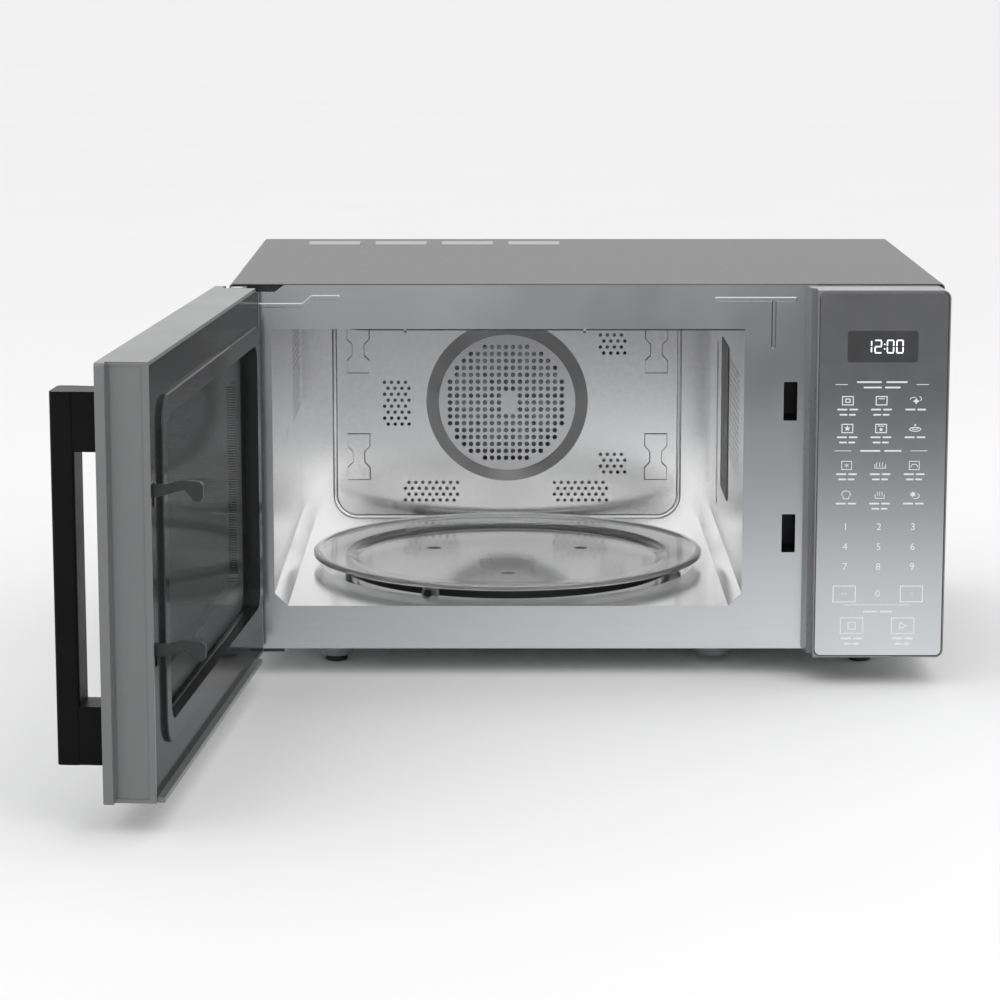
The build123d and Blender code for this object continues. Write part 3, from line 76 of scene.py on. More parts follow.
def place(mat, stretch=(1, 1, 1), turn=0.0):
    """Object coordinates, stretched, and turned about Z for pieces of the open door."""
    coordinates = add(mat, "ShaderNodeTexCoord")
    turned = add(mat, "ShaderNodeMapping", vector_type="TEXTURE")
    turned.inputs["Rotation"].default_value = (0, 0, turn)
    scaled = add(mat, "ShaderNodeMapping")
    scaled.inputs["Scale"].default_value = stretch
    join(mat, coordinates.outputs["Object"], turned.inputs["Vector"])
    join(mat, turned.outputs["Vector"], scaled.inputs["Vector"])
    return scaled.outputs["Vector"]


def noise(mat, where, scale, detail=3.0, rough=0.55):
    node = add(mat, "ShaderNodeTexNoise")
    node.inputs["Scale"].default_value = scale
    node.inputs["Detail"].default_value = detail
    node.inputs["Roughness"].default_value = rough
    join(mat, where, node.inputs["Vector"])
    return node.outputs["Fac"]


def spread(mat, value, low, high, start=0.3, end=0.7):
    """A value from start..end carried to low..high."""
    node = add(mat, "ShaderNodeMapRange")
    node.inputs["From Min"].default_value = start
    node.inputs["From Max"].default_value = end
    node.inputs["To Min"].default_value = low
    node.inputs["To Max"].default_value = high
    join(mat, value, node.inputs["Value"])
    return node.outputs["Result"]


def ramp(mat, value, stops):
    """Colours along a value: stops are (position, colour)."""
    node = add(mat, "ShaderNodeValToRGB")
    line = node.color_ramp.elements
    while len(line) < len(stops):
        line.new(0.5)
    for element, (position, colour) in zip(line, stops):
        element.position = position
        element.color = (*colour, 1.0)
    join(mat, value, node.inputs["Fac"])
    return node.outputs["Color"]


def blend_colours(mat, share, first, second, mode="MIX"):
    node = add(mat, "ShaderNodeMix", data_type="RGBA", blend_type=mode)
    if isinstance(share, float):
        node.inputs["Factor"].default_value = share
    else:
        join(mat, share, node.inputs["Factor"])
    for socket, colour in ((node.inputs[6], first), (node.inputs[7], second)):
        if isinstance(colour, tuple):
            socket.default_value = (*colour, 1.0)
        else:
            join(mat, colour, socket)
    return node.outputs[2]


def shader_of(mat):
    return mat.node_tree.nodes["Principled BSDF"]


def bump(mat, height, distance, strength=0.5):
    node = add(mat, "ShaderNodeBump")
    node.inputs["Strength"].default_value = strength
    node.inputs["Distance"].default_value = distance
    join(mat, height, node.inputs["Height"])
    join(mat, node.outputs["Normal"], shader_of(mat).inputs["Normal"])


def toned(mat, value, colour, change):
    """Base colour that varies a little about one colour."""
    low = tuple(c * (1 - change) for c in colour)
    high = tuple(min(1.0, c * (1 + change)) for c in colour)
    join(mat, ramp(mat, value, [(0.3, low), (0.7, high)]), shader_of(mat).inputs["Base Color"])


def rubbed(mat, value, low, high):
    join(mat, spread(mat, value, low, high), shader_of(mat).inputs["Roughness"])


# ------------------------------------------------------------------ material families
def moulded(name, colour, roughness=0.45, grain=1400.0, depth=0.00004, change=0.08, **sockets):
    """Moulded plastic: fine spark-eroded grain and a slight unevenness of tone."""
    mat = material(name, colour, 0.0, roughness, **sockets)
    fine = noise(mat, place(mat), grain, 2.0)
    broad = noise(mat, place(mat), 24.0, 3.0)
    toned(mat, broad, colour, change)
    rubbed(mat, broad, roughness - 0.05, roughness + 0.07)
    bump(mat, fine, depth, 0.35)
    return mat


def brushed(name, colour, roughness=0.3, along=(1, 0, 0), depth=0.00001, change=0.05):
    """Metal sheet with fine lines along one direction."""
    stretch = tuple(14.0 if a else 900.0 for a in along)
    mat = material(name, colour, 1.0, roughness)
    lines = noise(mat, place(mat, stretch), 1.0, 4.0, 0.65)
    smudge = noise(mat, place(mat), 7.0, 3.0)
    toned(mat, lines, colour, change)
    rubbed(mat, smudge, roughness - 0.04, roughness + 0.06)
    bump(mat, lines, depth, 0.25)
    return mat


def pressed(name, colour, roughness):
    """Bright sheet with the faint waviness of pressed metal."""
    mat = material(name, colour, 1.0, roughness)
    bump(mat, noise(mat, place(mat), 9.0, 1.0), 0.0003, 0.05)
    return mat


def polished(name, colour, roughness, turn=0.0):
    """Pressed sheet with a fine haze over it."""
    mat = pressed(name, colour, roughness)
    haze = noise(mat, place(mat, (1, 1, 1), turn), 240.0, 3.0)
    toned(mat, haze, colour, 0.015)
    rubbed(mat, haze, roughness * 0.9, roughness * 1.15)
    return mat


def coated(name, colour, roughness):
    """Powder coat: orange peel and a fine speckle."""
    mat = material(name, colour, 0.0, roughness, Coat_Weight=0.15, Coat_Roughness=0.3)
    peel = noise(mat, place(mat), 700.0, 2.0)
    dust = noise(mat, place(mat), 3800.0, 1.0)
    toned(mat, dust, colour, 0.06)
    rubbed(mat, peel, roughness - 0.05, roughness + 0.05)
    bump(mat, peel, 0.00003, 0.3)
    return mat


def spangled(name, colour, roughness=0.32):
    """Zinc-plated sheet with its crystal spangle."""
    mat = material(name, colour, 1.0, roughness)
    cells = add(mat, "ShaderNodeTexVoronoi")
    cells.inputs["Scale"].default_value = 130.0
    join(mat, place(mat), cells.inputs["Vector"])
    grey = add(mat, "ShaderNodeSeparateColor")
    join(mat, cells.outputs["Color"], grey.inputs["Color"])
    toned(mat, grey.outputs["Red"], colour, 0.07)
    join(mat, spread(mat, grey.outputs["Green"], roughness - 0.06, roughness + 0.1, 0, 1),
         shader_of(mat).inputs["Roughness"])
    bump(mat, noise(mat, place(mat), 260.0, 2.0), 0.00003, 0.2)
    return mat


def clear(name, tint, roughness=0.0, ior=1.5, wave=0.0002, transmission=1.0):
    """Clear glass or plastic with a faint ripple."""
    mat = material(name, tint, 0.0, roughness, Transmission_Weight=transmission, IOR=ior)
    ripple = noise(mat, place(mat), 45.0, 2.0)
    haze = noise(mat, place(mat), 160.0, 3.0)
    rubbed(mat, haze, roughness, roughness + 0.03)
    bump(mat, ripple, wave, 0.15)
    return mat


def height_share(mat, low, high):
    """0 at one height, 1 at another."""
    coordinates = add(mat, "ShaderNodeTexCoord")
    split = add(mat, "ShaderNodeSeparateXYZ")
    join(mat, coordinates.outputs["Object"], split.inputs["Vector"])
    return spread(mat, split.outputs["Z"], 0.0, 1.0, low, high)


# ------------------------------------------------------------------ one function per slot
def casing_paint():
    """Powder coat, with a painted highlight: the stamped louvres that stand above the roof are painted
    paler than the roof.
    """
    mat = coated("casing_paint", (0.112, 0.112, 0.114), 0.48)
    flat = shader_of(mat).inputs["Base Color"].links[0].from_socket
    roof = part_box("outer_wrapper")[1].z - 2.0 * MM
    share = height_share(mat, roof + 0.1 * MM, roof + 0.8 * MM)
    # painted highlight: above the roof's height the colour turns from the dark powder coat to a pale grey
    join(mat, blend_colours(mat, share, flat, (0.42, 0.42, 0.425)), shader_of(mat).inputs["Base Color"])
    return mat


def plated_steel():
    return spangled("plated_steel", (0.56, 0.57, 0.58))


def satin_steel():
    """Front frame: satin stainless with fine lines along its width."""
    return brushed("satin_steel", (0.64, 0.65, 0.66), 0.19, change=0.02, depth=0.000004)


def cavity_steel():
    """Stainless lining with painted shade: darker towards the ceiling, paler towards the floor."""
    roughness = 0.17
    mat = pressed("cavity_steel", (0.9, 0.9, 0.91), roughness)
    low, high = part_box("cavity_rear_wall")
    share = height_share(mat, low.z, high.z)
    # painted shade: the lining's colour falls from near white low down to mid grey at the ceiling
    tone = ramp(mat, share, [(0.1, (0.97, 0.97, 0.97)), (0.45, (0.92, 0.92, 0.92)),
                             (0.95, (0.66, 0.66, 0.665))])
    fine = noise(mat, place(mat), 240.0, 3.0)
    cloud = ramp(mat, fine, [(0.3, (0.985, 0.985, 0.985)), (0.7, (1.0, 1.0, 1.0))])
    join(mat, blend_colours(mat, 1.0, tone, cloud, "MULTIPLY"), shader_of(mat).inputs["Base Color"])
    rubbed(mat, fine, roughness * 0.9, roughness * 1.15)
    return mat


DISC_RADIUS = 58.0 * MM       # the fan grille's satin disc, inside its bevelled ring


def polished_steel():
    """Fan grille: a satin centre with painted shade, darker towards its top, inside a bevelled ring
    painted pale as a painted highlight.
    """
    mat = pressed("polished_steel", (0.9, 0.9, 0.9), 0.2)
    low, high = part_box("fan_cover")
    centre = (low + high) / 2
    offset = add(mat, "ShaderNodeVectorMath", operation="SUBTRACT")
    join(mat, add(mat, "ShaderNodeTexCoord").outputs["Object"], offset.inputs[0])
    offset.inputs[1].default_value = centre
    level = add(mat, "ShaderNodeVectorMath", operation="MULTIPLY")
    join(mat, offset.outputs["Vector"], level.inputs[0])
    level.inputs[1].default_value = (1.0, 0.0, 1.0)
    reach = add(mat, "ShaderNodeVectorMath", operation="LENGTH")
    join(mat, level.outputs["Vector"], reach.inputs[0])
    ring = spread(mat, reach.outputs["Value"], 0.0, 1.0, DISC_RADIUS, DISC_RADIUS + 1.0 * MM)
    fine = noise(mat, place(mat), 240.0, 3.0)
    share = height_share(mat, low.z, high.z)
    # painted shade: the grille's centre darkens towards its top
    painted_disc_shade = ramp(mat, share, [(0.1, (0.74, 0.74, 0.745)), (0.5, (0.70, 0.70, 0.705)),
                             (0.9, (0.46, 0.46, 0.47))])
    # painted highlight: the bevelled ring is near white and only half metallic, in place of the bright
    # reflections its bevel would show
    tone = blend_colours(mat, ring, painted_disc_shade, (0.97, 0.97, 0.97))
    cloud = ramp(mat, fine, [(0.3, (0.97, 0.97, 0.97)), (0.7, (1.0, 1.0, 1.0))])
    join(mat, blend_colours(mat, 1.0, tone, cloud, "MULTIPLY"), shader_of(mat).inputs["Base Color"])
    join(mat, spread(mat, ring, 0.22, 0.26, 0.0, 1.0), shader_of(mat).inputs["Roughness"])
    join(mat, spread(mat, ring, 1.0, 0.55, 0.0, 1.0), shader_of(mat).inputs["Metallic"])
    return mat


def foot_rubber():
    return moulded("foot_rubber", (0.018, 0.018, 0.019), 0.6, 900.0, 0.00008)


def screw_steel():
    return polished("screw_steel", (0.60, 0.60, 0.59), 0.22)


def black_plastic():
    return moulded("black_plastic", (0.014, 0.014, 0.015), 0.4)


def white_plastic():
    return moulded("white_plastic", (0.62, 0.61, 0.58), 0.45)


def clear_plastic():
    return clear("clear_plastic", (0.82, 0.82, 0.80), 0.12, 1.46, 0.0003, 0.8)


def clear_glass():
    """Inner door glass. Its index is far below real glass, so that it hardly mirrors the cavity."""
    return clear("clear_glass", (0.90, 0.91, 0.91), 0.04, 1.03)


def plate_glass():
    """Pressed glass of the turntable plate: slightly frosted by its mould."""
    return clear("plate_glass", (0.97, 0.975, 0.975), 0.10, 1.36, 0.0003, 0.86)


def lamp_glass():
    return clear("lamp_glass", (1.0, 0.97, 0.90), 0.03)


def mirror_glass():
    """Silvered control panel and door glass, with painted shade: a little darker at its top and bottom
    than at mid height.
    """
    mat = material("mirror_glass", (0.7, 0.71, 0.72), 1.0, 0.10)
    share = height_share(mat, 20.0 * MM, 300.0 * MM)
    # painted shade: the silvering's colour is darker at the top and bottom than at mid height
    tone = ramp(mat, share, [(0.0, (0.61, 0.62, 0.63)), (0.5, (0.65, 0.66, 0.67)),
                             (1.0, (0.61, 0.61, 0.62))])
    haze = noise(mat, place(mat), 60.0, 4.0)
    dust = ramp(mat, haze, [(0.3, (0.985, 0.985, 0.985)), (0.7, (1.0, 1.0, 1.0))])
    join(mat, blend_colours(mat, 1.0, tone, dust, "MULTIPLY"), shader_of(mat).inputs["Base Color"])
    rubbed(mat, haze, 0.10, 0.13)
    bump(mat, noise(mat, place(mat), 9.0, 1.0), 0.0003, 0.04)
    return mat


def silver_plastic():
    return moulded("silver_plastic", (0.19, 0.19, 0.195), 0.30, 1500.0, 0.00002, 0.05, Coat_Weight=0.3)


def display_black():
    return moulded("display_black", (0.01, 0.01, 0.011), 0.15, 800.0, 0.00001)


def circuit_board():
    """Green board with its copper tracks showing through the lacquer."""
    mat = material("circuit_board", (0.02, 0.14, 0.06), 0.0, 0.35, Coat_Weight=0.5)
    tracks = add(mat, "ShaderNodeTexBrick")
    tracks.inputs["Scale"].default_value = 90.0
    tracks.inputs["Color1"].default_value = (0.016, 0.12, 0.05, 1)
    tracks.inputs["Color2"].default_value = (0.02, 0.16, 0.07, 1)
    tracks.inputs["Mortar"].default_value = (0.06, 0.26, 0.12, 1)
    join(mat, place(mat), tracks.inputs["Vector"])
    join(mat, tracks.outputs["Color"], shader_of(mat).inputs["Base Color"])
    bump(mat, tracks.outputs["Fac"], 0.00005, 0.3)
    return mat


def heater_sheath():
    """Tube heater: oxidised sheath with brown and blue heat tints."""
    mat = material("heater_sheath", (0.2, 0.18, 0.16), 1.0, 0.42)
    tint = noise(mat, place(mat), 55.0, 4.0)
    colours = ramp(mat, tint, [(0.25, (0.13, 0.11, 0.10)), (0.5, (0.26, 0.22, 0.18)),
                               (0.75, (0.20, 0.20, 0.24))])
    join(mat, colours, shader_of(mat).inputs["Base Color"])
    rubbed(mat, tint, 0.35, 0.55)
    bump(mat, noise(mat, place(mat), 900.0, 2.0), 0.00005, 0.3)
    return mat


def motor_steel():
    return spangled("motor_steel", (0.50, 0.50, 0.49), 0.36)


def laminated_iron():
    """Stacked sheets under dark varnish."""
    mat = material("laminated_iron", (0.1, 0.095, 0.09), 0.6, 0.45)
    sheets = add(mat, "ShaderNodeTexWave", bands_direction="X")
    sheets.inputs["Scale"].default_value = 320.0
    sheets.inputs["Distortion"].default_value = 0.6
    join(mat, place(mat), sheets.inputs["Vector"])
    toned(mat, sheets.outputs["Fac"], (0.11, 0.10, 0.095), 0.3)
    bump(mat, sheets.outputs["Fac"], 0.0001, 0.4)
    return mat


def aluminium_can():
    return brushed("aluminium_can", (0.74, 0.74, 0.75), 0.3, (0, 1, 0))


def mica():
    """Dark mica sheet: flaky sheen."""
    mat = material("mica", (0.03, 0.028, 0.026), 0.0, 0.3)
    flakes = noise(mat, place(mat, (1, 1.6, 0.7)), 120.0, 5.0, 0.7)
    toned(mat, flakes, (0.032, 0.029, 0.026), 0.5)
    rubbed(mat, flakes, 0.22, 0.5)
    bump(mat, flakes, 0.0002, 0.3)
    return mat


def black_steel():
    return coated("black_steel", (0.016, 0.016, 0.017), 0.3)


def door_paint():
    """Moulded door frame in satin silver-grey with fine metallic flake."""
    mat = material("door_paint", (0.205, 0.207, 0.21), 0.25, 0.36, Coat_Weight=0.15, Coat_Roughness=0.25)
    flake = noise(mat, place(mat), 5200.0, 1.0)
    broad = noise(mat, place(mat), 16.0, 3.0)
    toned(mat, flake, (0.205, 0.207, 0.21), 0.06)
    rubbed(mat, broad, 0.30, 0.38)
    bump(mat, noise(mat, place(mat), 900.0, 2.0), 0.00002, 0.2)
    return mat


def grey_enamel():
    """Door's inner panel: dark, glossy and almost a mirror."""
    mat = polished("grey_enamel", (0.10, 0.102, 0.104), 0.12, DOOR_OPEN)
    shader_of(mat).inputs["Metallic"].default_value = 0.75
    shader_of(mat).inputs["Specular Tint"].default_value = (0.5, 0.5, 0.5, 1.0)
    return mat


def gloss_black_plastic():
    mat = polished("gloss_black_plastic", (0.055, 0.056, 0.058), 0.10, DOOR_OPEN)
    shader_of(mat).inputs["Metallic"].default_value = 0.6
    shader_of(mat).inputs["Specular Tint"].default_value = (0.5, 0.5, 0.5, 1.0)
    return mat


def screen_enamel():
    """Perforated screen: black enamel with a close grid of small round holes."""
    mat = material("screen_enamel", (0.02, 0.02, 0.02), 0.0, 0.6, Specular_IOR_Level=0.06)
    pitch = 1.9 * MM
    edge = 0.30                   # in pitches from a hole's centre
    holes = add(mat, "ShaderNodeTexVoronoi", feature="F1", distance="EUCLIDEAN")
    holes.inputs["Randomness"].default_value = 0.0
    holes.inputs["Scale"].default_value = 1.0
    join(mat, place(mat, (1 / pitch, 0.0, 1 / pitch), -DOOR_OPEN), holes.inputs["Vector"])
    colours = ramp(mat, holes.outputs["Distance"], [(edge, (0.002, 0.002, 0.002)),
                                                    (0.36, (0.11, 0.11, 0.112))])
    join(mat, colours, shader_of(mat).inputs["Base Color"])
    bump(mat, spread(mat, holes.outputs["Distance"], 0, 1, edge, 0.36), 0.0002, 0.6)
    return mat


def handle_black():
    return moulded("handle_black", (0.004, 0.004, 0.0042), 0.38, 1600.0, 0.00003, 0.15,
                   Specular_IOR_Level=0.15)


def latch_plastic():
    return moulded("latch_plastic", (0.025, 0.026, 0.027), 0.42)


def spring_steel():
    return polished("spring_steel", (0.55, 0.55, 0.54), 0.2)


def white_print():
    """White ink under the glass, slightly uneven in cover."""
    mat = material("white_print", (0.78, 0.79, 0.80), 0.0, 0.3)
    cover = noise(mat, place(mat), 900.0, 2.0)
    toned(mat, cover, (0.78, 0.79, 0.80), 0.05)
    return mat


def lit_segments():
    """Lit clock segments."""
    mat = material("lit_segments", (0.9, 0.95, 1.0), 0.0, 0.4, Emission_Strength=1.1)
    shader_of(mat).inputs["Emission Color"].default_value = (0.93, 0.97, 1.0, 1.0)
    toned(mat, noise(mat, place(mat), 700.0, 1.0), (0.9, 0.95, 1.0), 0.04)
    return mat


def display_window():
    """Smoked window over the clock."""
    mat = material("display_window", (0.055, 0.055, 0.057), 0.0, 0.12, Coat_Weight=0.4)
    toned(mat, noise(mat, place(mat), 40.0, 3.0), (0.055, 0.055, 0.057), 0.12)
    return mat


finishes = {}
for finish in (casing_paint, plated_steel, satin_steel, cavity_steel, polished_steel, foot_rubber,
               screw_steel, black_plastic, white_plastic, clear_plastic, clear_glass, plate_glass,
               lamp_glass, mirror_glass, silver_plastic, display_black, circuit_board, heater_sheath,
               motor_steel, laminated_iron, aluminium_can, mica, black_steel, door_paint, grey_enamel,
               gloss_black_plastic, screen_enamel, handle_black, latch_plastic, spring_steel,
               white_print, lit_segments, display_window):
    finishes[finish.__name__] = finish()


def finish_cad_nodes():
    """Every CAD node takes the finish of its slot."""
    for part in frame["record"]["subparts"]:
        piece = frame["nodes"][part["node"]]
        piece.data.materials.clear()
        piece.data.materials.append(finishes[part["material_slot"]])


# ------------------------------------------------------------------ printed marks on the panel
PRINT_STAND = 0.05 * MM       # ink in front of the glass
PRINT_THICK = 0.06 * MM
LINE = 0.75 * MM              # width of a drawn line

glass_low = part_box("control_panel_glass")[0]
panel_left = glass_low.x
panel_bottom = glass_low.z
panel_face = glass_low.y


def flat_piece(name, shapes, finish, stand=PRINT_STAND, thick=PRINT_THICK):
    """Thin closed plates in front of the panel glass.

    Each shape is an outline in metres from the lower left corner of the glass.
    """
    points = []
    faces = []
    for shape in shapes:
        count = len(shape)
        start = len(points)
        for y in (panel_face - stand - thick, panel_face - stand):
            points += [(panel_left + x, y, panel_bottom + z) for x, z in shape]
        faces.append(list(range(start, start + count)))
        faces.append(list(range(start + 2 * count - 1, start + count - 1, -1)))
        for i in range(count):
            j = (i + 1) % count
            faces.append([start + j, start + i, start + count + i, start + count + j])
    mesh = bpy.data.meshes.new(name)
    mesh.from_pydata(points, [], faces)
    mesh.update()
    piece = bpy.data.objects.new(name, mesh)
    bpy.context.scene.collection.objects.link(piece)
    mesh.materials.append(finishes[finish])
    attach(piece, "cabinet")
    return piece


def bar(x, z, width, height):
    """Rectangle about a centre."""
    w = width / 2
    h = height / 2
    return [(x - w, z - h), (x + w, z - h), (x + w, z + h), (x - w, z + h)]


def sideways(before, here, after):
    """Unit mitre at a point of a chain, pointing to its left."""
    first = (here - before).normalized() if before is not None else None
    second = (after - here).normalized() if after is not None else None
    first = first or second
    second = second or first
    along = (first + second).normalized()
    left = Vector((-along.y, along.x))
    lean = max(0.4, left.dot(Vector((-first.y, first.x))))
    return left / lean


def stroke(points, width=LINE, closed=False):
    """Line of even width along a chain of points, as quads that meet in mitred joints."""
    chain = [Vector(p) for p in points]
    count = len(chain)
    edges = []
    for i, here in enumerate(chain):
        before = chain[i - 1] if closed or i > 0 else None
        after = chain[(i + 1) % count] if closed or i < count - 1 else None
        shift = sideways(before, here, after) * width / 2
        edges.append((tuple(here - shift), tuple(here + shift)))
    last = count if closed else count - 1
    return [[edges[i][0], edges[(i + 1) % count][0], edges[(i + 1) % count][1], edges[i][1]]
            for i in range(last)]


def box_outline(x, z, width, height, line=LINE):
    w = width / 2
    h = height / 2
    return stroke([(x - w, z - h), (x + w, z - h), (x + w, z + h), (x - w, z + h)], line, True)


def arc(x, z, rx, rz, first, last, steps=10):
    """Points along part of an ellipse."""
    angles = [math.radians(first + (last - first) * i / steps) for i in range(steps + 1)]
    return [(x + rx * math.cos(a), z + rz * math.sin(a)) for a in angles]


def star(x, z, outer, inner, count=5):
    """Star-shaped plate."""
    points = []
    for i in range(2 * count):
        radius = outer if i % 2 == 0 else inner
        angle = math.radians(90 + 180 / count * i)
        points.append((x + radius * math.cos(angle), z + radius * math.sin(angle)))
    return points


def rounded(x, z, width, height, radius, steps=6):
    """Rounded rectangle outline."""
    w = width / 2 - radius
    h = height / 2 - radius
    points = []
    for cx, cz, first in ((w, h, 0), (-w, h, 90), (-w, -h, 180), (w, -h, 270)):
        points += arc(x + cx, z + cz, radius, radius, first, first + 90, steps)
    return points


WORD_SHARES = (0.42, 0.36)    # lengths of a caption's dashes, as shares of its width


def words(x, z, width, height=1.25 * MM):
    """Stand-in for a caption: two short dashes in place of lettering."""
    gap = width * (1 - sum(WORD_SHARES)) * 0.35
    total = width * sum(WORD_SHARES) + gap
    left = x - total / 2
    shapes = []
    for share in WORD_SHARES:
        piece = width * share
        shapes.append(rounded(left + piece / 2, z, piece, height, height * 0.45, 3))
        left += piece + gap
    return shapes


# Icons: each takes a centre and gives outlines about 8 mm wide.
ICON = 8.0 * MM


def icon_oven(x, z):
    return box_outline(x, z, ICON, ICON * 0.78) + box_outline(x, z, ICON * 0.4, ICON * 0.3)


def icon_grill(x, z):
    teeth = [(x - 2.4 * MM + i * 0.96 * MM, z + (1.9 if i % 2 else 1.1) * MM) for i in range(6)]
    return box_outline(x, z, ICON, ICON * 0.78) + stroke(teeth, LINE * 0.7)


def icon_hot_air(x, z):
    shapes = [star(x + 0.4 * MM, z - 0.3 * MM, 2.6 * MM, 1.2 * MM, 4)]
    shapes += stroke(arc(x - 1.5 * MM, z + 1.0 * MM, 2.6 * MM, 1.6 * MM, 60, 190), LINE * 0.7)
    shapes += stroke(arc(x + 2.6 * MM, z + 1.4 * MM, 1.6 * MM, 1.6 * MM, -60, 90), LINE * 0.7)
    return shapes


def icon_star_box(x, z):
    return box_outline(x, z, ICON, ICON * 0.78) + [star(x, z, 2.4 * MM, 1.1 * MM)]


def icon_combined(x, z):
    teeth = [(x - 2.4 * MM + i * 0.96 * MM, z + (2.2 if i % 2 else 1.4) * MM) for i in range(6)]
    shapes = box_outline(x, z, ICON, ICON * 0.78) + stroke(teeth, LINE * 0.6)
    return shapes + [star(x, z - 0.8 * MM, 1.8 * MM, 0.8 * MM)]


def icon_dish(x, z):
    shapes = stroke(arc(x, z - 0.6 * MM, 4.2 * MM, 1.5 * MM, 0, 342, 19), LINE * 0.8, True)
    shapes += stroke(arc(x, z - 0.2 * MM, 2.4 * MM, 0.7 * MM, 0, 330, 11), LINE * 0.6, True)
    return shapes + [star(x, z + 2.6 * MM, 1.2 * MM, 0.5 * MM, 4)]


def icon_frost(x, z):
    shapes = box_outline(x, z, ICON * 0.92, ICON * 0.78, LINE * 0.7)
    return shapes + [star(x, z, 2.3 * MM, 0.5 * MM, 6)]


def icon_soften(x, z):
    shapes = stroke([(x - 4 * MM, z + 1 * MM), (x - 4 * MM, z - 2 * MM), (x + 4 * MM, z - 2 * MM),
                     (x + 4 * MM, z + 1 * MM)], LINE * 0.7)
    for i in (-1, 0, 1):
        shapes += stroke(arc(x + i * 2.2 * MM, z + 0.6 * MM, 0.7 * MM, 1.7 * MM, 90, 270, 6), LINE * 0.6)
    return shapes


def icon_rise(x, z):
    shapes = box_outline(x, z, ICON * 0.92, ICON * 0.78, LINE * 0.7)
    return shapes + stroke(arc(x, z - 1.4 * MM, 2.6 * MM, 2.4 * MM, 0, 180, 10), LINE * 0.7)


def icon_cook(x, z):
    shapes = stroke(arc(x, z + 0.6 * MM, 3.2 * MM, 2.4 * MM, -30, 210, 12), LINE * 0.7)
    return shapes + stroke([(x - 2.3 * MM, z - 0.8 * MM), (x - 2 * MM, z - 3 * MM),
                            (x + 2 * MM, z - 3 * MM), (x + 2.3 * MM, z - 0.8 * MM)], LINE * 0.7)


def icon_warm(x, z):
    shapes = stroke([(x - 3.6 * MM, z + 0.4 * MM), (x - 3.2 * MM, z - 2.6 * MM),
                     (x + 3.2 * MM, z - 2.6 * MM), (x + 3.6 * MM, z + 0.4 * MM)], LINE * 0.7)
    for i in (-1, 0, 1):
        shapes += stroke([(x + i * 1.8 * MM, z - 0.8 * MM), (x + i * 1.8 * MM, z + 2.4 * MM)], LINE * 0.6)
    return shapes


def icon_clean(x, z):
    shapes = [star(x - 0.6 * MM, z + 0.4 * MM, 2.6 * MM, 1.2 * MM, 6)]
    return shapes + stroke(arc(x + 1.4 * MM, z - 0.8 * MM, 2.8 * MM, 2.0 * MM, -120, 60), LINE * 0.7)


# The panel's layout, in millimetres from the lower left corner of its glass.
COLUMNS = (22.0 * MM, 47.0 * MM, 72.3 * MM)
CENTRE = 47.2 * MM
ICON_ROWS = (                 # height, icons, caption lines under each icon
    (193.7, (icon_oven, icon_grill, icon_hot_air), (2, 2, 1)),
    (172.9, (icon_star_box, icon_combined, icon_dish), (2, 2, 1)),
    (145.1, (icon_frost, icon_soften, icon_rise), (2, 2, 2)),
    (122.9, (icon_cook, icon_warm, icon_clean), (1, 2, 1)))
CAPTION_DROP = 6.6            # from an icon's centre to its first caption line
CAPTION_STEP = 3.9            # from one caption line to the next
HEADINGS = ((207.6, 44), (203.6, 32), (156.1, 36))       # height, width
HEADING_RULES = ((205.8, 25.5), (156.1, 22.0))           # height, inner end from the centre
RULE_END = 34.5               # outer end from the centre
RULE_WIDTH = 0.5
KEY_TOP = 98.6                # the row of 1, 2 and 3
KEY_STEP = 15.2
LAST_KEY_ROW = 47.6 * MM      # minus, 0 and plus
KEY_BOX = 12.0 * MM           # height of the boxes round minus, plus and the last two keys
SIGN_LINE = 0.6 * MM
START_RULE = 39.3 * MM
START_HEADING = 34.1 * MM
START_ROW = 23.3 * MM         # stop and start
STOP_X = 28.0 * MM
START_X = 66.3 * MM


def panel_marks():
    """Icons, captions, boxes and rules."""
    shapes = []
    for z, icons, lines in ICON_ROWS:
        for x, icon, count in zip(COLUMNS, icons, lines):
            shapes += icon(x, z * MM)
            for line in range(count):
                shapes += words(x, (z - CAPTION_DROP - line * CAPTION_STEP) * MM, (18 - 4 * line) * MM)
    for z, width in HEADINGS:
        shapes += words(CENTRE, z * MM, width * MM)
    for z, inner in HEADING_RULES:
        for side in (-1, 1):
            shapes.append(bar(CENTRE + side * (inner + RULE_END) / 2 * MM, z * MM,
                              (RULE_END - inner) * MM, RULE_WIDTH * MM))
    for x in (COLUMNS[0], COLUMNS[2]):
        shapes += box_outline(x, LAST_KEY_ROW, 16.6 * MM, KEY_BOX)
    shapes.append(bar(COLUMNS[0], LAST_KEY_ROW, 4.6 * MM, SIGN_LINE))
    shapes.append(bar(COLUMNS[2], LAST_KEY_ROW, 2.6 * MM, SIGN_LINE))
    shapes.append(bar(COLUMNS[2], LAST_KEY_ROW, SIGN_LINE, 2.6 * MM))
    shapes.append(bar(CENTRE, START_RULE, 49 * MM, RULE_WIDTH * MM))
    shapes += words(CENTRE, START_HEADING, 26 * MM)
    for x in (STOP_X, START_X):
        shapes += box_outline(x, START_ROW, 16.8 * MM, KEY_BOX)
        for z, width in ((13.6, 19), (9.4, 13)):
            shapes += words(x, z * MM, width * MM, 1.6 * MM)
    shapes += box_outline(STOP_X, START_ROW, 5.4 * MM, 5.4 * MM)
    shapes += stroke([(START_X - 2.2 * MM, 20.9 * MM), (START_X + 2.8 * MM, START_ROW),
                      (START_X - 2.2 * MM, 25.7 * MM)], LINE, True)
    return flat_piece("panel_marks", shapes, "white_print")


DIGIT_HEIGHT = 5.2 * MM
DIGIT_SHARE = 0.70            # a digit's height as a share of the font's size


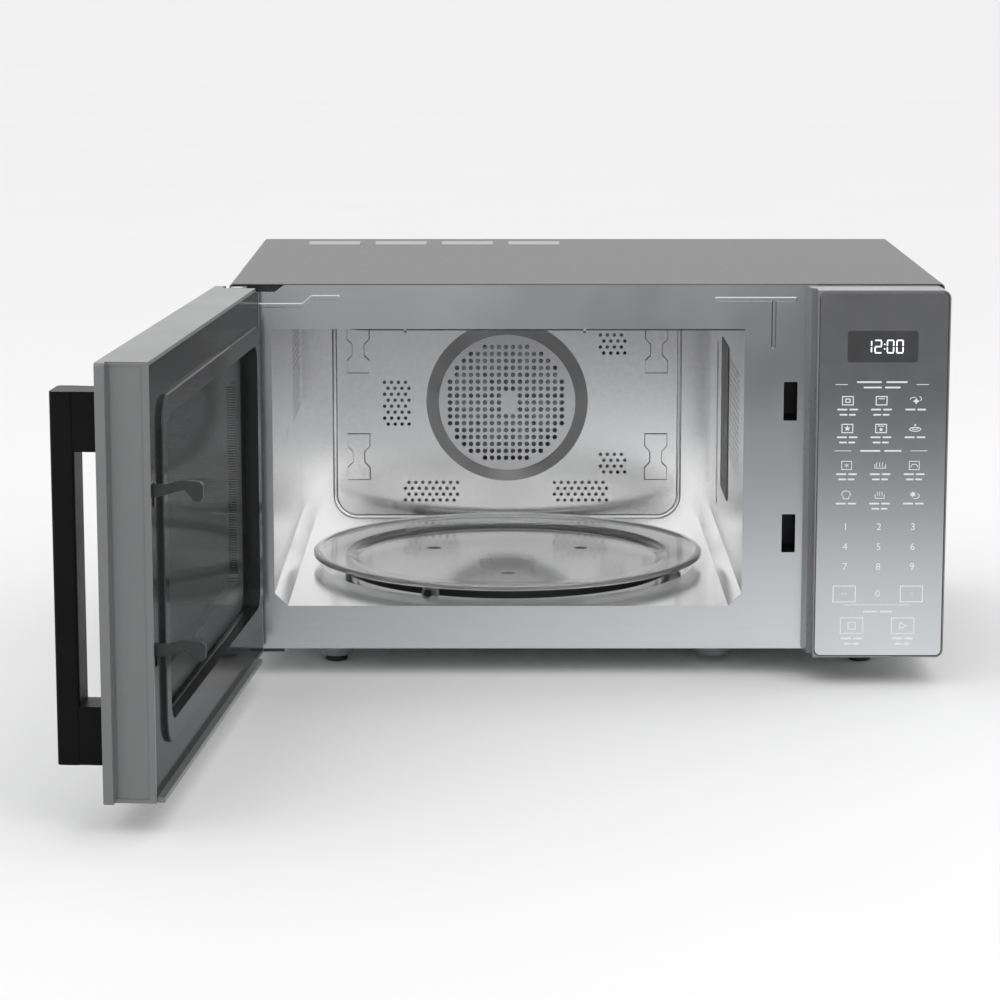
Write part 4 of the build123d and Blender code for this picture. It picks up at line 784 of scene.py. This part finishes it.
def numeral(text, x, z):
    """One printed number as a flat mesh from the built-in font."""
    curve = bpy.data.curves.new("numeral_" + text, "FONT")
    curve.body = text
    curve.size = DIGIT_HEIGHT / DIGIT_SHARE
    curve.align_x = "CENTER"
    curve.align_y = "CENTER"
    curve.extrude = PRINT_THICK / 2
    writing = bpy.data.objects.new("numeral_" + text, curve)
    bpy.context.scene.collection.objects.link(writing)
    bpy.context.view_layer.update()
    mesh = bpy.data.meshes.new_from_object(writing.evaluated_get(bpy.context.evaluated_depsgraph_get()))
    bpy.data.objects.remove(writing)
    middle = panel_face - PRINT_STAND - PRINT_THICK / 2
    upright = Matrix.Rotation(math.pi / 2, 4, "X")
    mesh.transform(Matrix.Translation((panel_left + x, middle, panel_bottom + z)) @ upright)
    mesh.materials.clear()
    mesh.materials.append(finishes["white_print"])
    piece = bpy.data.objects.new("numeral_" + text, mesh)
    bpy.context.scene.collection.objects.link(piece)
    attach(piece, "cabinet")


def numerals():
    """The keypad's numbers."""
    for index in range(9):
        numeral(str(index + 1), COLUMNS[index % 3], (KEY_TOP - KEY_STEP * (index // 3)) * MM)
    numeral("0", COLUMNS[1], LAST_KEY_ROW)


SEGMENTS = {"0": "abcdef", "1": "bc", "2": "abged"}
CLOCK_TIME = (("1", -10.8), ("2", -3.5), ("0", 5.5), ("0", 12.5))   # digit, millimetres from the centre
CLOCK_Z = 234.1 * MM
COLON_X = 1.2 * MM            # right of the clock's centre
DIGIT_W = 4.6 * MM
DIGIT_H = 9.2 * MM
SEGMENT = 0.85 * MM           # width of a segment


def clock_digit(character, x, z):
    """Seven-segment shape about a centre."""
    w = DIGIT_W / 2
    h = DIGIT_H / 2
    gap = SEGMENT * 0.58
    lines = {"a": ((-w, h), (w, h)), "b": ((w, h - gap), (w, gap)), "c": ((w, -gap), (w, gap - h)),
             "d": ((w, -h), (-w, -h)), "e": ((-w, gap - h), (-w, -gap)), "f": ((-w, gap), (-w, h - gap)),
             "g": ((-w, 0), (w, 0))}
    shapes = []
    for segment in SEGMENTS[character]:
        ends = [(x + dx, z + dz) for dx, dz in lines[segment]]
        shapes += stroke(ends, SEGMENT)
    return shapes


def clock():
    """Smoked display window and the lit time."""
    flat_piece("display_window", [rounded(CENTRE, CLOCK_Z, 52.2 * MM, 23.4 * MM, 2.0 * MM)],
               "display_window", 0.02 * MM, 0.03 * MM)
    shapes = []
    for character, offset in CLOCK_TIME:
        shapes += clock_digit(character, CENTRE + offset * MM, CLOCK_Z)
    for dz in (-1.7, 1.7):
        shapes.append(bar(CENTRE + COLON_X, CLOCK_Z + dz * MM, 0.9 * MM, 0.9 * MM))
    flat_piece("clock_digits", shapes, "lit_segments", 0.07 * MM, 0.05 * MM)


# ------------------------------------------------------------------ studio
FLOOR_REACH = 60.0
WORLD_STRENGTH = 0.98
LIGHTS = (                    # name, place, aim, width, height, power
    ("key", (0.9, -1.6, 1.7), (0.0, 0.1, 0.1), 1.4, 1.0, 6),
    ("top", (0.0, 0.3, 2.0), (0.0, 0.1, 0.2), 1.6, 1.2, 4))

# The glowing sheet that only reflections show: its corners, height and brightness.
CARD_LOW = (-6.0, -7.0)
CARD_HIGH = (6.0, -0.07)
CARD_HEIGHT = 1.0 * MM
CARD_FAR = -3.0               # the brightness no longer changes beyond this
CARD_SIDES = (-0.30, 0.24)    # where the left's brightness starts to give way, and where it has gone
GLOW_RIGHT = ((0.04, 1.02), (0.15, 0.78), (0.25, 0.51), (0.37, 0.30), (0.55, 0.17), (1.0, 0.17))
GLOW_LEFT = ((0.04, 0.40), (0.27, 0.36), (0.6, 0.36), (1.0, 0.46))


def area_light(name, place_at, aim, width, height, power):
    light = bpy.data.lights.new(name, "AREA")
    light.shape = "RECTANGLE"
    light.size = width
    light.size_y = height
    light.energy = power
    lamp = bpy.data.objects.new(name, light)
    lamp.location = place_at
    lamp.rotation_euler = (Vector(aim) - Vector(place_at)).to_track_quat("-Z", "Y").to_euler()
    bpy.context.scene.collection.objects.link(lamp)


def level_sheet(name, low, high, z, finish):
    """Level rectangle of the studio."""
    mesh = bpy.data.meshes.new(name)
    corners = [(low[0], low[1], z), (high[0], low[1], z), (high[0], high[1], z), (low[0], high[1], z)]
    mesh.from_pydata(corners, [], [(0, 1, 2, 3)])
    mesh.materials.append(finish)
    sheet = bpy.data.objects.new(name, mesh)
    bpy.context.scene.collection.objects.link(sheet)
    return sheet


def card_glow():
    """Brightness of the reflected sheet, graded by distance from the oven and from left to right.

    The steps are set so that the steel front and the mirror panel come near the photo's tones.
    """
    mat = bpy.data.materials.new("card_glow")
    mat.use_nodes = True
    mat.node_tree.nodes.remove(shader_of(mat))
    split = add(mat, "ShaderNodeSeparateXYZ")
    join(mat, add(mat, "ShaderNodeTexCoord").outputs["Object"], split.inputs["Vector"])
    distance = spread(mat, split.outputs["Y"], 1.0, 0.0, CARD_FAR, 0.0)
    right = ramp(mat, distance, [(p, (v, v * 1.01, v * 1.03)) for p, v in GLOW_RIGHT])
    left = ramp(mat, distance, [(p, (v, v * 1.01, v * 1.03)) for p, v in GLOW_LEFT])
    across = spread(mat, split.outputs["X"], 0.0, 1.0, *CARD_SIDES)
    glow = add(mat, "ShaderNodeEmission")
    join(mat, blend_colours(mat, across, left, right), glow.inputs["Color"])
    join(mat, glow.outputs["Emission"], mat.node_tree.nodes["Material Output"].inputs["Surface"])
    return mat


def studio():
    """Pale floor, soft lights, an even bright world, and the glowing sheet seen only in reflections."""
    paint = material("floor_paint", (0.90, 0.90, 0.90), 0.0, 0.9, Specular_IOR_Level=0.1)
    toned(paint, noise(paint, place(paint), 3.0, 2.0), (0.90, 0.90, 0.90), 0.005)
    level_sheet("floor", (-FLOOR_REACH, -FLOOR_REACH), (FLOOR_REACH, FLOOR_REACH), 0.0, paint)
    card = level_sheet("reflection_card", CARD_LOW, CARD_HIGH, CARD_HEIGHT, card_glow())
    card.visible_camera = False
    card.visible_diffuse = False
    card.visible_transmission = False
    card.visible_shadow = False
    world = bpy.data.worlds.new("studio")
    world.use_nodes = True
    sky = world.node_tree.nodes["Background"]
    sky.inputs["Color"].default_value = (1, 1, 1, 1)
    sky.inputs["Strength"].default_value = WORLD_STRENGTH
    bpy.context.scene.world = world
    for light in LIGHTS:
        area_light(*light)


# The view: a long lens, level with the horizon turned down towards the open cavity.
VIEW_PLACE = (-0.0651, -2.3570, 0.5536)
VIEW_DOWN = 0.1758            # radians
LENS = 113.93                 # millimetres on a 36 mm sensor


def camera():
    """The camera, and the render settings that go with the look."""
    view = bpy.data.cameras.new("camera")
    view.lens = LENS
    view.sensor_width = 36.0
    view.clip_end = 60.0
    eye = bpy.data.objects.new("camera", view)
    eye.location = VIEW_PLACE
    eye.rotation_euler = (math.pi / 2 - VIEW_DOWN, 0.0, 0.0)
    bpy.context.scene.collection.objects.link(eye)
    bpy.context.scene.camera = eye
    scene = bpy.context.scene
    scene.view_settings.view_transform = "Standard"
    scene.cycles.max_bounces = 18
    scene.cycles.glossy_bounces = 12
    scene.cycles.transmission_bounces = 14


finish_cad_nodes()
panel_marks()
numerals()
clock()
studio()
camera()
